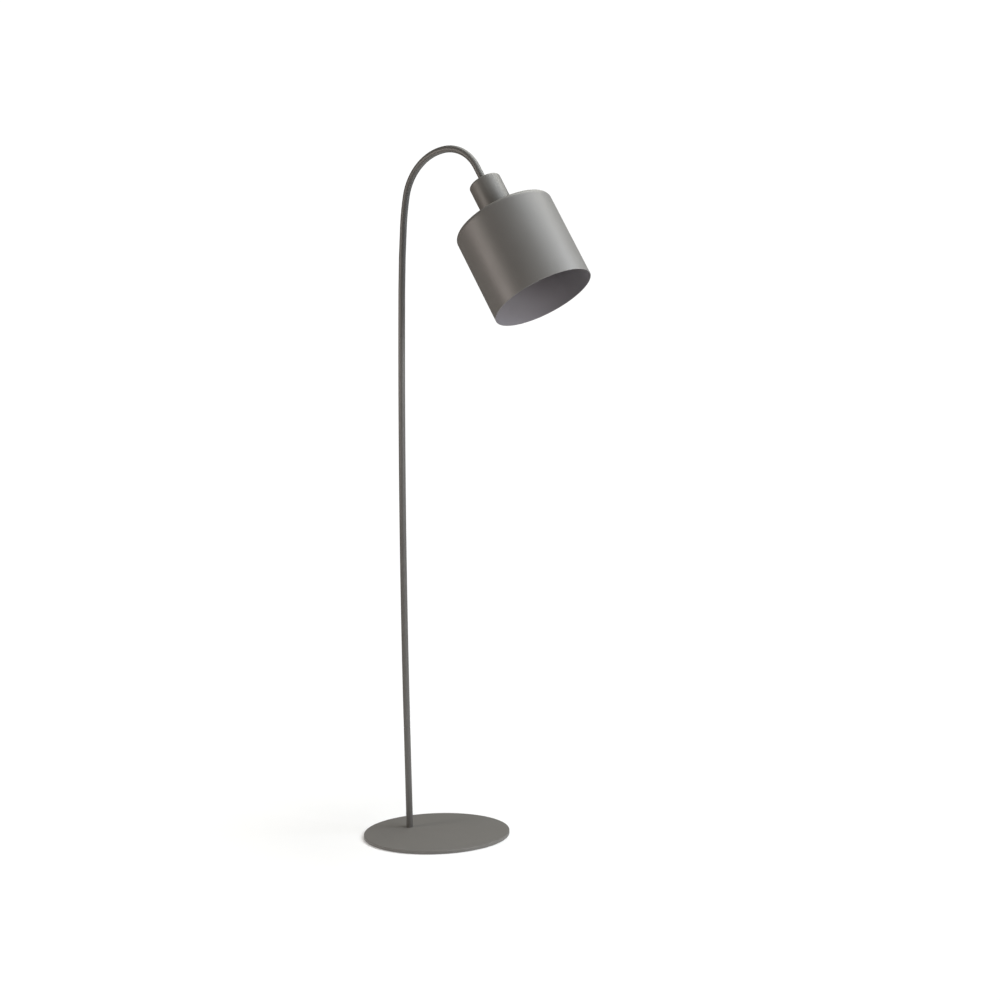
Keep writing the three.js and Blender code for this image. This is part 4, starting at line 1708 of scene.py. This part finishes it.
@dataclass
class Studio:
    """The pale floor, the white ground, the light panels and the camera."""

    azimuth: float = 34.233
    elevation: float = 3.422
    roll: float = 1.404
    camera_at: Vector = field(default_factory=lambda: Vector((1.8667, -2.4992, 0.8291)))
    lens: float = 59.05
    sensor: float = 36.0
    middle: Vector = field(default_factory=lambda: Vector((0.07, 0, 0)))
    floor_radius: float = 1.2
    floor_colour: Colour = (0.82, 0.82, 0.82)
    floor_glow: tuple[float, float] = (0.2, 0.55)
    glow_start: float = 0.25
    white: float = 1.05
    ambience: float = 0.035
    panels: tuple[Panel, ...] = (
        Panel("left_low", -72.0, 1.6, 0.95, (0.85, 0.45), 9.0, (1.0, 0.89, 0.84)),
        Panel("left_high", -68.0, 1.6, 1.45, (0.55, 0.45), 3.6, (1.0, 0.95, 0.85)),
        Panel("right_low", 42.0, 1.5, 0.88, (0.5, 0.65), 6.0, (1.0, 0.95, 0.95)),
        Panel("right", 60.0, 1.5, 1.15, (0.7, 0.4), 7.8, (0.95, 1.0, 1.0)),
        Panel("right_high", 82.0, 1.5, 1.7, (0.8, 0.9), 15.7, (0.85, 0.9, 1.0)),
        Panel("top_right", 60.0, 1.1, 3.1, (1.4, 1.4), 18.5, (0.88, 0.95, 1.0), 0.5),
        Panel("top_back", 125.0, 1.0, 3.1, (2.2, 2.2), 53.0, (1.0, 1.0, 0.93), 0.5),
    )

    def build(self) -> None:
        """Makes the floor, the sky, the lights and the camera."""
        scene = bpy.context.scene
        scene.view_settings.view_transform = "Standard"
        self.floor()
        self.sky(scene)
        for panel in self.panels:
            self.hang(scene, panel)
        self.camera(scene)

    def floor(self) -> None:
        """The plain pale floor, which glows more towards its rim to meet the ground."""
        work = bmesh.new()
        bmesh.ops.create_circle(work, cap_ends=True, segments=96, radius=self.floor_radius)
        mesh = bpy.data.meshes.new("studio_floor")
        work.to_mesh(mesh)
        work.free()
        floor = bpy.data.objects.new("studio_floor", mesh)
        bpy.context.scene.collection.objects.link(floor)
        material = bpy.data.materials.new("studio_floor")
        material.use_nodes = True
        graph = Graph(material.node_tree)
        out = graph.signal("ShaderNodeVectorMath", {"operation": "LENGTH"}, {0: graph.place()}, "Value")
        rim = graph.mapped(out, self.glow_start, self.floor_radius)
        near, far = ((glow,) * 3 for glow in self.floor_glow)
        values = {
            "Base Color": (*self.floor_colour, 1.0),
            "Roughness": 0.9,
            "Specular IOR Level": 0.0,
            "Emission Color": graph.mix(rim, near, far),
            "Emission Strength": 1.0,
        }
        graph.close("ShaderNodeBsdfPrincipled", values)
        mesh.materials.append(material)

    def sky(self, scene: bpy.types.Scene) -> None:
        """The ground behind the lamp: white to look at, but dim as a light.

        Args:
            scene: the scene.
        """
        world = bpy.data.worlds.new("studio")
        world.use_nodes = True
        scene.world = world
        graph = Graph(world.node_tree)
        seen = graph.signal("ShaderNodeLightPath", output="Is Camera Ray")
        strength = self.ambience + seen * (self.white - self.ambience)
        values = {"Color": (1.0, 1.0, 1.0, 1.0), "Strength": strength}
        graph.close("ShaderNodeBackground", values, "ShaderNodeOutputWorld")

    def hang(self, scene: bpy.types.Scene, panel: Panel) -> None:
        """Hangs one light panel.

        Args:
            scene: the scene.
            panel: the panel.
        """
        data = bpy.data.lights.new(panel.name, "AREA")
        data.shape, data.size, data.size_y = "RECTANGLE", *panel.size
        data.energy, data.color = panel.power, panel.colour
        light = bpy.data.objects.new(panel.name, data)
        scene.collection.objects.link(light)
        light.visible_camera = False
        turn = math.radians(self.azimuth + panel.azimuth)
        out = Vector((math.sin(turn), -math.cos(turn), 0)) * panel.distance
        light.location = self.middle + out + Vector((0, 0, panel.height))
        light.rotation_mode = "QUATERNION"
        aim = self.middle + Vector((0, 0, panel.aim)) - light.location
        light.rotation_quaternion = aim.to_track_quat("-Z", "Y")

    def camera(self, scene: bpy.types.Scene) -> None:
        """Sets up the camera.

        Args:
            scene: the scene.
        """
        data = bpy.data.cameras.new("camera")
        data.lens, data.sensor_width = self.lens, self.sensor
        data.clip_start, data.clip_end = 0.05, 60.0
        camera = bpy.data.objects.new("camera", data)
        scene.collection.objects.link(camera)
        turn, rise, tip = (math.radians(a) for a in (self.azimuth, self.elevation, self.roll))
        back = Vector(
            (math.sin(turn) * math.cos(rise), -math.cos(turn) * math.cos(rise), math.sin(rise))
        )
        level = Vector((math.cos(turn), math.sin(turn), 0))
        upright = back.cross(level)
        right = level * math.cos(tip) - upright * math.sin(tip)
        up = level * math.sin(tip) + upright * math.cos(tip)
        camera.matrix_world = Matrix.Translation(self.camera_at) @ Matrix(
            (
                (right.x, up.x, back.x, 0),
                (right.y, up.y, back.y, 0),
                (right.z, up.z, back.z, 0),
                (0, 0, 0, 1),
            )
        )
        scene.camera = camera


def main() -> None:
    """Builds the studio and the lamp."""
    logging.basicConfig(level=logging.INFO, format="%(message)s")
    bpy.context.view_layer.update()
    Studio().build()
    base = Base()
    base.build()
    tube = Tube()
    stub = Stub(base.foot, tube)
    stub.build()
    arch = Arch(base.foot, tube)
    arch.build()
    Cup(arch.head, stub).build()
    Lampholder(arch.head).build()
    Shade(arch.head).build()
    Bulb(arch.head).build()


if __name__ == "__main__":
    main()
